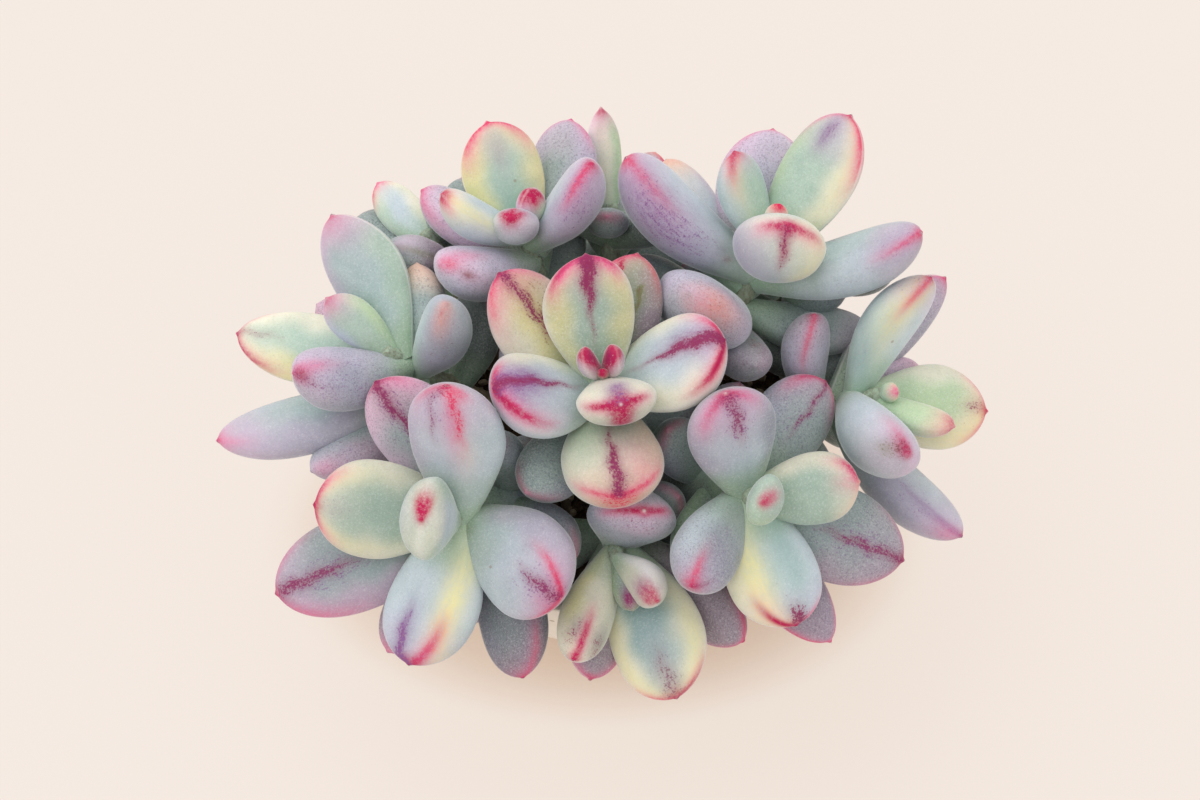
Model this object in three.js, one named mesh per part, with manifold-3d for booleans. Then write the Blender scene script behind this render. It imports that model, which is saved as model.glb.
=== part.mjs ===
import * as THREE from "three";
import { mergeVertices } from "three/addons/utils/BufferGeometryUtils.js";
import Module from "manifold-3d";

// A potted cotyledon: eleven leafy shoots crowded in a low round pot that their leaves hide.
// Millimetres and degrees, +Z up, with the origin at the centre of the pot's base.

const { Vector3 } = THREE;
const wasm = await Module();
wasm.setup();

// Pot and soil
const POT_HEIGHT = 56;
const POT_RIM_RADIUS = 54;
const POT_BASE_RADIUS = 33;
const POT_BELLY = 3.5;
const POT_WALL = 4;
const POT_FLOOR = 5;
const POT_SIDES = 36;
const DRAIN_RADIUS = 4.5;
const DRAIN_RING = 19;
const DRAIN_COUNT = 3;
const SOIL_TOP = 51;
const SOIL_CROWN = 2;
const STEM_DEPTH = 16;
const CLEARANCE = 0.3;

// Leaf form, as shares of the leaf's own length, width or thickness
const SWELL_AT = 0.6;
const ROOT_WIDTH = 0.34;
const ROOT_THICKNESS = 0.5;
const TIP_POWER = 2.5;
const WIDTH_ROUNDING = 0.58;
const THICKNESS_ROUNDING = 0.52;
const BOW = 0.06;
const UPPER_FACE = 0.8;
const LOWER_FACE = 1.1;

// Faces round and along a leaf and a stem
const LARGE_LEAF = { sides: 8, steps: 6, from: 17.2 };
const SMALL_LEAF = { sides: 6, steps: 5 };
const STEM = { sides: 6, steps: 5, radius: 3.6, top: 0.62 };

// The view from which the leaf tips are placed: from the front, 60 degrees above the
// ground, aimed at the middle of the plant from 1.3 m away.
const VIEW_TILT = THREE.MathUtils.degToRad(60);
const VIEW_AIM = new Vector3(0, -3, 74);
const VIEW_DISTANCE = 1300;
const ACROSS = new Vector3(1, 0, 0);
const UP = new Vector3(0, Math.sin(VIEW_TILT), Math.cos(VIEW_TILT));
const OUT = new Vector3(0, -Math.cos(VIEW_TILT), Math.sin(VIEW_TILT));

// The shoots. apex is the stem's top: across, up and height above the ground. axis is the
// top's heading and lean, foot is where the stem leaves the soil.
// A leaf is: name, tip across, tip up, length (negative where it points away from the
// viewer), width, thickness, drop below the stem's top. true marks a leaf of the bud,
// which hardly gives way to its neighbours.
// An old leaf, low on the stem, is: drop, turn round the stem, splay, length, width,
// thickness.
const SHOOTS = [
  {
    name: "centre", apex: [0.75, 7, 109], axis: [90, 4], foot: [0, 2], radius: 4.2,
    leaves: [
      ["bud", 0.6, 7.5, 5, 3.2, 2.8, 0.5, true],
      ["c1", 4.6, 13.4, 10.5, 7.8, 5, 1.5, true],
      ["c2", -5, 12.4, 11, 7.8, 5, 1.5, true],
      ["c4", -3.6, 36.3, 30, 22.5, 12, 5],
      ["c5", 5.4, -1, 20, 19.5, 11.5, 4],
      ["c6", -27, 3, 31, 23.5, 15, 8],
      ["c7", 31, 15, 34, 24.5, 15, 8],
      ["c8", -25.3, 31.5, 40, 22, 12, 12],
      ["c9", 9.3, 35.8, 37, 19, 12, 13],
      ["c10", 4.9, -24, 33, 24.7, 18.5, 12],
    ],
    old: [
      [21, 45, 78, 30, 16, 14],
      [21, 135, 78, 31, 17, 14],
      [34, 325, 92, 30, 16, 13],
      [29, 270, 95, 25, 15, 13],
    ],
  },
  {
    name: "back_left", apex: [-18.75, 46.25, 104], axis: [105, 26], foot: [-9, 18],
    leaves: [
      ["tl1", -23, 45.5, 14, 11.5, 9.5, 2, true],
      ["tl2", -17.5, 54.5, 11, 9, 7.5, 2, true],
      ["tl3", -28, 68.5, 31, 20.8, 11, 6],
      ["tl4", -7.25, 70.25, -36, 19, 12, 10],
      ["tl5", -2, 59.5, 30, 17.5, 13, 7],
      ["tl6", -39.5, 51.75, 27, 13, 10.5, 5],
      ["tl7", -44, 52, -32, 14, 12, 10],
      ["tl8", -40, 34, 30, 18, 14, 12],
    ],
    old: [
      [17, 20, 82, 30, 17, 13],
      [25, 60, 88, 28, 15, 12],
      [25, -30, 90, 28, 15, 12],
      [24, 180, 70, 26, 14, 13],
    ],
  },
  {
    name: "back_right", apex: [43.5, 43.5, 106], axis: [65, 30], foot: [15, 16],
    leaves: [
      ["tr1", 47.5, 44.9, 27, 23, 16, 8],
      ["tr2", 45, 49.5, 9, 6, 5, 1, true],
      ["tr3", 33.6, 62, 25, 15.5, 9, 5],
      ["tr4", 62.6, 71, 36, 23, 12, 8],
      ["tr5", 43.5, 68.5, -38, 24, 12, 13],
      ["tr6", 5, 61, 42, 19.5, 17, 12],
      ["tr7", 80.8, 42, 46, 19, 15, 14],
      ["tr8", 22.5, 27, 34, 25, 17.5, 26],
      ["tr9", 38.75, 8.75, 28, 14, 12, 30],
      ["tr10", 16, 60, -42, 17, 13, 18],
      ["tr11", 67, 17.5, 34, 15, 12, 24],
    ],
    old: [
      [20, 10, 84, 32, 17, 13],
      [26, -50, 90, 30, 16, 12],
      [28, 60, 90, 28, 15, 12],
    ],
  },
  {
    name: "left", apex: [-53.75, 12.5, 92], axis: [172, 42], foot: [-22, 4],
    leaves: [
      ["l1", -66.9, 46, 39, 21, 12, 5],
      ["l2", -68.5, 25.6, 22, 11.5, 8, 3, true],
      ["l3", -92.5, 17, 41, 18.5, 11, 6],
      ["l4", -78.5, 7, 31, 20, 16, 7],
      ["l5", -95.3, -10.3, 50, 18, 13, 13],
      ["l6", -73, 25, -32, 14, 10, 12],
      ["l7", -46.5, 32, 26, 13, 11, 9],
      ["l8", -38.5, 24, 27, 15.5, 14, 10],
      ["l9", -72.5, -18, 36, 17, 13, 18],
    ],
    old: [
      [17, 40, 80, 30, 16, 13],
      [24, -20, 88, 30, 15, 12],
      [24, -100, 84, 26, 15, 12],
      [30, 60, 90, 26, 14, 12],
    ],
  },
  {
    name: "front_left", apex: [-38.75, -30.5, 90], axis: [235, 38], foot: [-15, -16],
    leaves: [
      ["bl1", -45.5, -29.75, 19, 20.5, 13, 3, true],
      ["bl2", -38.5, 3.5, 38, 24, 16, 7],
      ["bl3", -71.5, -26, 36, 24.5, 13, 9],
      ["bl4", -9.5, -49.5, 34, 26, 18, 9],
      ["bl5", -47.75, -66, 37, 23.5, 14, 7],
      ["bl6", -81, -48.5, 50, 24.5, 14, 15],
      ["bl12", -13.5, -11, -34, 17, 14, 15],
      ["bl7", -56, 4.75, 41, 21.5, 13, 17],
      ["bl8", -19, -69.5, -41, 18.5, 13, 17],
      ["bl9", -53, -63, -42, 19, 12, 20],
    ],
    old: [
      [24, -60, 86, 32, 17, 13],
      [24, 20, 88, 30, 16, 12],
      [26, 90, 84, 26, 15, 12],
      [30, 180, 80, 24, 14, 12],
    ],
  },
  {
    name: "front", apex: [4.5, -40, 74], axis: [275, 55], foot: [3, -26],
    leaves: [
      ["bc1", 15.3, -51, 18, 10.5, 9, 0.8, true],
      ["bc2", 8.3, -52.6, 15.5, 7.5, 6, 1.8, true],
      ["bc3", 19.5, -75.5, 42.5, 24, 13, 7],
      ["bc4", -6.8, -66, 35.5, 13.5, 12, 7],
      ["bc5", 11, -28, 25, 21.7, 13.5, 9],
      ["bc6", -1.5, -67.5, 37, 16, 12, 13],
      ["bc7", 36, -60, -42.5, 17, 13, 14],
    ],
    old: [
      [19, 20, 85, 24, 14, 11],
      [20, 120, 80, 24, 13, 11],
      [21, -50, 88, 30, 15, 12],
    ],
  },
  {
    name: "front_right", apex: [39.5, -24.5, 92], axis: [300, 38], foot: [17, -14],
    leaves: [
      ["br1", 41.2, -25.6, 13, 13, 9, 2, true],
      ["br2", 31.4, 1.5, 31, 22.5, 15, 7],
      ["br3", 64.7, -20.4, 27, 18, 13.5, 5],
      ["br4", 48.75, -56.4, 34, 23.5, 14, 7],
      ["br5", 22.25, -47.75, 32, 17.5, 15, 9],
      ["br6", 76.25, -40.4, 43, 24, 14, 12],
      ["br7", 55.25, 3.8, -36, 20, 14, 12],
      ["br13", 15, -20, -30, 15, 13, 15],
      ["br8", 57.7, -60.4, -44, 17, 13, 18],
    ],
    old: [
      [24, -30, 86, 30, 16, 12],
      [24, 60, 86, 30, 16, 12],
      [26, 150, 84, 26, 14, 12],
      [30, 230, 84, 24, 14, 12],
    ],
  },
  {
    name: "right", apex: [72, 1.5, 84], axis: [352, 58], foot: [27, 1],
    leaves: [
      ["r6", 75.5, 2.5, 6, 5, 4, 1, true],
      ["r5", 89, -7, 20, 11, 8, 3, true],
      ["r4", 97, -2.85, -31, 22, 11, 6],
      ["r1", 82.6, 31.5, 35, 18.5, 12, 8],
      ["r3", 78, -14, 30, 22, 16, 9],
      ["r2", 87, 31, -41, 16, 12, 13],
      ["r8", 81.25, 9.1, -24, 11, 9, 10],
      ["r7", 90.25, -34, -45, 17.5, 13, 13],
      ["r9", 53.5, 22.5, 26, 14, 12, 19],
    ],
    old: [
      [19, 20, 80, 30, 15, 12],
      [25, -60, 84, 28, 15, 12],
      [25, 100, 84, 28, 14, 12],
    ],
  },
  {
    name: "back", apex: [3, 49, 90], axis: [88, 44], foot: [2, 32],
    leaves: [
      ["b1", 0.25, 72.75, 28, 8.5, 6, 3],
      ["b2", 14.9, 63.5, -26, 14, 10, 7],
    ],
    old: [
      [2, 0, 30, 10, 6, 5],
      [3, 180, 40, 16, 11, 8],
      [8, -90, 55, 27, 16, 11],
      [8, 60, 60, 26, 14, 11],
      [13, 0, 75, 29, 17, 12],
      [20, 45, 88, 28, 15, 12],
      [20, -50, 88, 28, 15, 12],
    ],
  },
  {
    name: "far_left", apex: [-43.75, 42, 90], axis: [135, 42], foot: [-26, 22],
    leaves: [
      ["lb1", -55, 53.5, -24, 11, 9, 3, true],
      ["lb2", -52, 39, 22, 14.5, 12, 8],
      ["lb3", -56, 40.75, -28, 11, 9, 10],
    ],
    old: [
      [2, 90, 30, 11, 7, 5],
      [3, -90, 40, 15, 9, 7],
      [9, 0, 62, 28, 16, 11],
      [13, -80, 75, 26, 15, 12],
      [20, 30, 88, 28, 15, 12],
      [20, -40, 90, 26, 14, 12],
    ],
  },
  {
    name: "far_right", apex: [55, 36, 82], axis: [50, 48], foot: [30, 18],
    leaves: [],
    old: [
      [2, 40, 25, 12, 7, 6],
      [2, 220, 25, 11, 7, 6],
      [5, 130, 55, 22, 14, 10],
      [5, -50, 55, 23, 14, 10],
      [10, 40, 70, 27, 16, 12],
      [12, 215, 70, 24, 14, 12],
      [17, 130, 84, 27, 15, 12],
      [17, -50, 84, 27, 15, 12],
      [23, 20, 90, 26, 14, 12],
    ],
  },
];

// Settling: how the leaves give way to each other
const ROUNDS = 60;
const NEIGHBOUR_REACH = 34;
const FEELERS_ALONG = [0.3, 0.45, 0.6, 0.75, 0.88];
const FEELERS_ACROSS = [-1, 0, 1];
const SIDE_FEELER = 0.72;
const SAME_SHOOT_ALLOWANCE = 0.8;
const STEM_FEELER_STEP = 4;
const RIM_FEELER = 3;
const PUSH_SHARE = 0.6;
const LONGEST_PUSH = 2.5;
const LEAF_HOLD = { slide: 0.25, spring: 0.25 };
const BUD_HOLD = { slide: 0.05, spring: 0.5 };

const material = (color, roughness) => new THREE.MeshStandardMaterial({ color, roughness, metalness: 0 });
const CERAMIC = material(0xe8ddcf, 0.75);
const SOIL = material(0x4b3b30, 0.95);
const LEAF = material(0xb7c6c2, 0.6);

// Points in the view

function onSightLine(across, up, out) {
  const scale = (VIEW_DISTANCE - out) / VIEW_DISTANCE;
  return VIEW_AIM.clone()
    .addScaledVector(ACROSS, across * scale)
    .addScaledVector(UP, up * scale)
    .addScaledVector(OUT, out);
}

function outOf(point) {
  return point.clone().sub(VIEW_AIM).dot(OUT);
}

function atHeight(across, up, height) {
  const rise = OUT.z - (UP.z * up) / VIEW_DISTANCE;
  return onSightLine(across, up, (height - VIEW_AIM.z - UP.z * up) / rise);
}

// Stems

function direction(heading, lean) {
  const turn = THREE.MathUtils.degToRad(heading);
  const tilt = THREE.MathUtils.degToRad(lean);
  return new Vector3(Math.sin(tilt) * Math.cos(turn), Math.sin(tilt) * Math.sin(turn), Math.cos(tilt));
}

function growStem({ apex, axis, foot, radius = STEM.radius }) {
  const top = atHeight(...apex);
  const base = new Vector3(foot[0], foot[1], SOIL_TOP - STEM_DEPTH);
  const topAxis = direction(...axis);
  const pull = top.distanceTo(base) * 0.45;
  const curve = new THREE.CubicBezierCurve3(
    base,
    base.clone().add(new Vector3(0, 0, pull)),
    top.clone().addScaledVector(topAxis, -pull),
    top,
  );
  const points = curve.getPoints(19);
  let length = 0;
  for (let i = 1; i < points.length; i += 1) length += points[i].distanceTo(points[i - 1]);
  const at = (drop) => curve.getPoint(1 - Math.min(drop / length, 1));
  return { curve, length, radius, axis: topAxis, heading: axis[0], at };
}

// Leaves

function placedLeaf(stem, [name, across, up, length, width, thickness, drop, bud = false]) {
  const root = stem.at(drop);
  const rootOut = outOf(root);
  const reach = Math.abs(length);
  let tip = onSightLine(across, up, rootOut);
  for (let i = 0; i < 4; i += 1) {
    const offset = tip.clone().sub(root);
    const flat = Math.hypot(offset.dot(ACROSS), offset.dot(UP));
    const depth = Math.sqrt(Math.max(0, reach * reach - flat * flat));
    tip = onSightLine(across, up, rootOut + Math.sign(length) * depth);
  }
  return { name, root, tip, width, thickness, axis: stem.axis, hold: bud ? BUD_HOLD : LEAF_HOLD };
}

function oldLeaf(stem, [drop, turn, splay, length, width, thickness], index) {
  const root = stem.at(drop);
  const axis = root.clone().sub(stem.at(drop + 0.5)).normalize();
  const outward = direction(stem.heading, 90);
  const first = outward.addScaledVector(axis, -outward.dot(axis)).normalize();
  const second = axis.clone().cross(first);
  const angle = THREE.MathUtils.degToRad(turn);
  const lean = THREE.MathUtils.degToRad(splay);
  const tip = root.clone()
    .addScaledVector(axis, length * Math.cos(lean))
    .addScaledVector(first, length * Math.sin(lean) * Math.cos(angle))
    .addScaledVector(second, length * Math.sin(lean) * Math.sin(angle));
  return { name: `old${index}`, root, tip, width, thickness, axis, hold: null };
}

function leafFrame(leaf) {
  const along = leaf.tip.clone().sub(leaf.root).normalize();
  let normal = leaf.axis.clone().addScaledVector(along, -leaf.axis.dot(along));
  if (normal.length() < 0.2) normal = OUT.clone().addScaledVector(along, -OUT.dot(along));
  normal.normalize();
  return { along, normal, side: normal.clone().cross(along) };
}

function fullness(t, root, rounding) {
  if (t < SWELL_AT) return root + (1 - root) * Math.sin((t / SWELL_AT) * (Math.PI / 2)) ** 1.15;
  const x = (t - SWELL_AT) / (1 - SWELL_AT);
  return Math.max(0, 1 - x ** TIP_POWER) ** rounding;
}

// Settling

function feelersOf(leaf) {
  const { along, side } = leafFrame(leaf);
  const feelers = [];
  for (const t of FEELERS_ALONG) {
    const halfWidth = (leaf.width / 2) * fullness(t, ROOT_WIDTH, WIDTH_ROUNDING);
    const halfThickness = (leaf.thickness / 2) * fullness(t, ROOT_THICKNESS, THICKNESS_ROUNDING);
    for (const s of FEELERS_ACROSS) {
      const radius = Math.min(halfWidth, halfThickness) * (s === 0 ? 1 : SIDE_FEELER);
      const centre = leaf.root.clone()
        .addScaledVector(along, leaf.length * t)
        .addScaledVector(side, s * Math.max(halfWidth - radius, 0));
      feelers.push({ centre, radius, t });
    }
  }
  return feelers;
}

function deepest(feelers, others, skip, allowance) {
  let best = { depth: 0 };
  for (const a of feelers) {
    for (const b of others) {
      if (skip(a, b)) continue;
      const distance = a.centre.distanceTo(b.centre);
      const depth = a.radius + b.radius - distance - allowance;
      if (depth > best.depth) best = { a, b, depth, distance };
    }
  }
  return best;
}

function pushFrom(best, push, share, t) {
  const away = best.a.centre.clone().sub(best.b.centre).divideScalar(Math.max(best.distance, 1e-6));
  push.addScaledVector(away, best.depth * share * t);
}

function pushApart(leaves, feelers, middles, pushes) {
  for (let i = 0; i < leaves.length; i += 1) {
    for (let j = i + 1; j < leaves.length; j += 1) {
      if (middles[i].distanceTo(middles[j]) > NEIGHBOUR_REACH) continue;
      const together = leaves[i].shoot === leaves[j].shoot;
      const skip = (a, b) => together && a.t < 0.5 && b.t < 0.5;
      const best = deepest(feelers[i], feelers[j], skip, together ? SAME_SHOOT_ALLOWANCE : 0);
      if (best.depth <= 0) continue;
      const mine = leaves[i].width ** 2;
      const theirs = leaves[j].width ** 2;
      pushFrom(best, pushes[i], theirs / (mine + theirs), best.a.t);
      pushFrom(best, pushes[j], -mine / (mine + theirs), best.b.t);
    }
  }
}

function pushOffStems(leaf, feelers, stems, push) {
  for (const stem of stems) {
    const own = stem.shoot === leaf.shoot;
    const best = deepest(feelers, stem.feelers, (a) => own && a.t < 0.45, 0);
    if (best.depth > 0) pushFrom(best, push, 1, best.a.t);
  }
}

function pushOffPot(feelers, push) {
  const rimRadius = POT_RIM_RADIUS - POT_WALL / 2;
  const rims = feelers.map(({ centre }) => {
    const outward = new Vector3(centre.x, centre.y, 0).normalize();
    const rim = outward.multiplyScalar(rimRadius).setZ(POT_HEIGHT - 1);
    return { centre: rim, radius: RIM_FEELER };
  });
  let best = { depth: 0 };
  feelers.forEach((feeler, i) => {
    const found = deepest([feeler], [rims[i]], () => false, 0);
    if (found.depth > best.depth) best = found;
  });
  if (best.depth > 0) pushFrom(best, push, 1, best.a.t);

  let lift = { depth: 0 };
  for (const { centre, radius, t } of feelers) {
    if (Math.hypot(centre.x, centre.y) > POT_RIM_RADIUS) continue;
    const depth = SOIL_TOP + radius - centre.z;
    if (depth > lift.depth) lift = { depth, t };
  }
  if (lift.depth > 0) push.z += lift.depth * lift.t;
}

function giveWay(leaf, push) {
  const move = push.multiplyScalar(PUSH_SHARE);
  if (leaf.hold) {
    const outPart = move.dot(OUT);
    move.addScaledVector(OUT, -outPart).multiplyScalar(leaf.hold.slide).addScaledVector(OUT, outPart);
    const back = leaf.start.clone().sub(leaf.tip);
    back.addScaledVector(OUT, -back.dot(OUT));
    move.addScaledVector(back, leaf.hold.spring);
  }
  move.clampLength(0, LONGEST_PUSH);
  leaf.tip.add(move).sub(leaf.root).setLength(leaf.length).add(leaf.root);
}

function settle(leaves, stems) {
  for (const leaf of leaves) {
    leaf.length = leaf.tip.distanceTo(leaf.root);
    leaf.start = leaf.tip.clone();
  }
  for (const stem of stems) {
    stem.feelers = [];
    for (let drop = 0; drop < stem.length; drop += STEM_FEELER_STEP) {
      stem.feelers.push({ centre: stem.at(drop), radius: stem.radius });
    }
  }
  for (let round = 0; round < ROUNDS; round += 1) {
    const feelers = leaves.map(feelersOf);
    const middles = feelers.map((list) => {
      const sum = new Vector3();
      for (const { centre } of list) sum.add(centre);
      return sum.divideScalar(list.length);
    });
    const pushes = leaves.map(() => new Vector3());
    pushApart(leaves, feelers, middles, pushes);
    leaves.forEach((leaf, i) => {
      pushOffStems(leaf, feelers[i], stems, pushes[i]);
      pushOffPot(feelers[i], pushes[i]);
    });
    leaves.forEach((leaf, i) => giveWay(leaf, pushes[i]));
  }
}

// Solids

function toSolid(geometry) {
  const bare = new THREE.BufferGeometry();
  bare.setAttribute("position", geometry.getAttribute("position"));
  bare.setIndex(geometry.getIndex());
  const merged = mergeVertices(bare, 1e-4);
  const index = merged.getIndex().array;
  const triVerts = [];
  for (let i = 0; i < index.length; i += 3) {
    const [a, b, c] = [index[i], index[i + 1], index[i + 2]];
    if (a !== b && b !== c && c !== a) triVerts.push(a, b, c);
  }
  return new wasm.Manifold(new wasm.Mesh({
    numProp: 3,
    vertProperties: new Float32Array(merged.getAttribute("position").array),
    triVerts: new Uint32Array(triVerts),
  }));
}

function toMesh(name, solid, surface) {
  const { vertProperties, triVerts } = solid.getMesh();
  const geometry = new THREE.BufferGeometry();
  geometry.setAttribute("position", new THREE.BufferAttribute(vertProperties, 3));
  geometry.setIndex(new THREE.BufferAttribute(triVerts, 1));
  geometry.computeVertexNormals();
  const mesh = new THREE.Mesh(geometry, surface);
  mesh.name = name;
  return mesh;
}

function largestBody(solid) {
  return solid.decompose().reduce((best, body) => (body.volume() > best.volume() ? body : best));
}

function drawOut(sides, steps, place) {
  const ball = new THREE.SphereGeometry(1, sides, steps);
  const position = ball.getAttribute("position");
  const point = new Vector3();
  for (let i = 0; i < position.count; i += 1) {
    point.fromBufferAttribute(position, i);
    const round = Math.hypot(point.x, point.z);
    const onPole = round < 1e-6;
    const x = onPole ? 0 : point.x / round;
    const z = onPole ? 0 : point.z / round;
    const placed = place((1 - point.y) / 2, x, z);
    position.setXYZ(i, placed.x, placed.y, placed.z);
  }
  return toSolid(ball);
}

function leafSolid(leaf, grow) {
  const { along, normal, side } = leafFrame(leaf);
  const { sides, steps } = leaf.width < LARGE_LEAF.from ? SMALL_LEAF : LARGE_LEAF;
  return drawOut(sides, steps, (t, x, z) => {
    const halfWidth = (leaf.width / 2) * fullness(t, ROOT_WIDTH, WIDTH_ROUNDING) + grow;
    const halfThickness = (leaf.thickness / 2) * fullness(t, ROOT_THICKNESS, THICKNESS_ROUNDING) + grow;
    const bow = -BOW * leaf.length * Math.sin(Math.PI * t);
    const face = z > 0 ? UPPER_FACE : LOWER_FACE;
    return leaf.root.clone()
      .addScaledVector(along, leaf.length * t + grow * (2 * t - 1))
      .addScaledVector(side, halfWidth * x)
      .addScaledVector(normal, halfThickness * face * z + bow);
  });
}

function stemSolid(stem, grow) {
  return drawOut(STEM.sides, STEM.steps, (t, x, z) => {
    const centre = stem.curve.getPoint(t);
    const along = stem.curve.getTangent(t);
    const side = new Vector3(0, 1, 0).cross(along).normalize();
    const normal = along.clone().cross(side);
    const taper = 1 - (1 - STEM.top) * t;
    return centre
      .addScaledVector(along, grow * (2 * t - 1))
      .addScaledVector(side, (stem.radius * taper + grow) * x)
      .addScaledVector(normal, (stem.radius * taper + grow) * z);
  });
}

// Pot and soil

function potRadius(height) {
  const share = height / POT_HEIGHT;
  const straight = POT_BASE_RADIUS + (POT_RIM_RADIUS - POT_BASE_RADIUS) * share;
  return straight + POT_BELLY * Math.sin(Math.PI * share);
}

function lathe(points) {
  const profile = points.map(([radius, height]) => new THREE.Vector2(radius, height));
  return new THREE.LatheGeometry(profile, POT_SIDES).rotateX(Math.PI / 2);
}

function wallPoints(from, to, steps, inset) {
  const points = [];
  for (let i = 0; i <= steps; i += 1) {
    const height = from + ((to - from) * i) / steps;
    points.push([potRadius(height) - inset, height]);
  }
  return points;
}

function potShell(grow) {
  const top = POT_HEIGHT + grow;
  const inner = POT_WALL + grow;
  return toSolid(lathe([
    [0, -grow],
    [POT_BASE_RADIUS - 1.5 + grow, -grow],
    ...wallPoints(1.5, POT_HEIGHT - 1.5, 5, -grow),
    [potRadius(POT_HEIGHT) - 1 + grow, top],
    [potRadius(POT_HEIGHT) - inner + 1, top],
    ...wallPoints(POT_HEIGHT - 1.5, POT_FLOOR + 3, 3, inner),
    [potRadius(POT_FLOOR) - inner - 3, POT_FLOOR + grow],
    [0, POT_FLOOR + grow],
  ]));
}

function makePot() {
  const drain = new THREE.CylinderGeometry(DRAIN_RADIUS, DRAIN_RADIUS, 3 * POT_FLOOR, 16).rotateX(Math.PI / 2);
  let pot = potShell(0);
  for (let i = 0; i < DRAIN_COUNT; i += 1) {
    const angle = (2 * Math.PI * i) / DRAIN_COUNT + Math.PI / 6;
    const hole = toSolid(drain.clone().translate(DRAIN_RING * Math.cos(angle), DRAIN_RING * Math.sin(angle), 0));
    pot = pot.subtract(hole);
  }
  return pot;
}

function soilBody(grow) {
  const inset = POT_WALL + CLEARANCE - grow;
  const floor = POT_FLOOR + CLEARANCE - grow;
  return toSolid(lathe([
    [0, floor],
    [potRadius(POT_FLOOR) - inset - 3, floor],
    ...wallPoints(POT_FLOOR + 3, SOIL_TOP + grow, 3, inset),
    [POT_RIM_RADIUS / 2, SOIL_TOP + SOIL_CROWN * 0.75 + grow],
    [0, SOIL_TOP + SOIL_CROWN + grow],
  ]));
}

// Assembly

const stems = SHOOTS.map((shoot) => Object.assign(growStem(shoot), { shoot: shoot.name }));
const leaves = SHOOTS.flatMap((shoot, i) => [
  ...shoot.leaves.map((row) => placedLeaf(stems[i], row)),
  ...shoot.old.map((row, k) => oldLeaf(stems[i], row, k)),
].map((leaf) => Object.assign(leaf, { shoot: shoot.name })));
settle(leaves, stems);

const pot = makePot();
let soil = soilBody(0);
for (const stem of stems) soil = soil.subtract(stemSolid(stem, CLEARANCE));

const ground = soilBody(CLEARANCE);
const taken = [potShell(CLEARANCE)];

function makeShoot(stem) {
  const own = leaves.filter((leaf) => leaf.shoot === stem.shoot);
  const foliage = (grow) => wasm.Manifold.union(own.map((leaf) => leafSolid(leaf, grow)));
  let shoot = foliage(0).subtract(ground).add(stemSolid(stem, 0));
  for (const neighbour of taken) shoot = shoot.subtract(neighbour);
  taken.push(foliage(CLEARANCE).add(stemSolid(stem, CLEARANCE)));
  return largestBody(shoot);
}

const group = new THREE.Group();
group.add(toMesh("pot", pot, CERAMIC));
group.add(toMesh("soil", largestBody(soil), SOIL));
for (const stem of stems) group.add(toMesh(`shoot_${stem.shoot}`, makeShoot(stem), LEAF));

export default group;
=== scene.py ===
import math

import bmesh
import bpy
import numpy as np
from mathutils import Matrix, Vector


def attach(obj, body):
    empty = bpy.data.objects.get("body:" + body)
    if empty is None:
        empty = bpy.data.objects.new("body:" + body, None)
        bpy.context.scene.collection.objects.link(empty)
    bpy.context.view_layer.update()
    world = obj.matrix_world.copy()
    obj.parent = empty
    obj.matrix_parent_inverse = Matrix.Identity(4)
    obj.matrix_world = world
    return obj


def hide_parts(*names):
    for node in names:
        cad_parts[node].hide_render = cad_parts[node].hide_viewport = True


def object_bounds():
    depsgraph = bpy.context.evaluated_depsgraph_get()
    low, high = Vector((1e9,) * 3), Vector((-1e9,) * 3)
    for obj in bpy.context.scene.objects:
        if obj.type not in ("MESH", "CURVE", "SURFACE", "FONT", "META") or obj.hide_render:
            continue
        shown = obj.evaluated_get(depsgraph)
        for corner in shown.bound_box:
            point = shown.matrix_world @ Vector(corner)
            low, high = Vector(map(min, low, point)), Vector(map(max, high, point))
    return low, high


# A potted cotyledon seen from 60 degrees above: eleven shoots of fat powdery leaves that
# hide a low round pot. The layout works in millimetres, as the frame's own source does,
# and meshes are written in metres.

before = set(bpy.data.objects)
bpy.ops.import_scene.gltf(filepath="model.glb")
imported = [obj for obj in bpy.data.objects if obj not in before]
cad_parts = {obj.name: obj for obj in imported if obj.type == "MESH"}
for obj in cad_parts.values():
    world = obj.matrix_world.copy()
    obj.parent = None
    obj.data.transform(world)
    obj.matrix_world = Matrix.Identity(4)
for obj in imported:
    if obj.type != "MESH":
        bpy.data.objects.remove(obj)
cad_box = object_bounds()
MM = 0.001

# Pot and soil
POT_HEIGHT = 56.0
POT_RIM_RADIUS = 54.0
POT_BASE_RADIUS = 33.0
POT_BELLY = 3.5
POT_WALL = 4.0
POT_FLOOR = 5.0
DRAIN_RADIUS = 4.5
DRAIN_RING = 19.0
DRAIN_COUNT = 3
FOOT_BEVEL = 1.5
INNER_BEVEL = 3.0
EDGE_ROUNDING = 1.3
POT_SIDES = 144
POT_STEPS = 26
INNER_STEPS = 20
DRAIN_SIDES = 48
SHARP_ANGLE = math.radians(50)
SOIL_TOP = 51.0
SOIL_CROWN = 2.0
SOIL_SETTLED = 0.35
SOIL_SIDES = 160
SOIL_RINGS = 56
SOIL_STEPS = 10
STEM_DEPTH = 16.0
CLEARANCE = 0.3
GRIT_COUNT = 420
GRIT_MARGIN = 2.6
GRIT_SIZES = (0.7, 1.9)
GRIT_CHIP = 0.72

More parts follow.
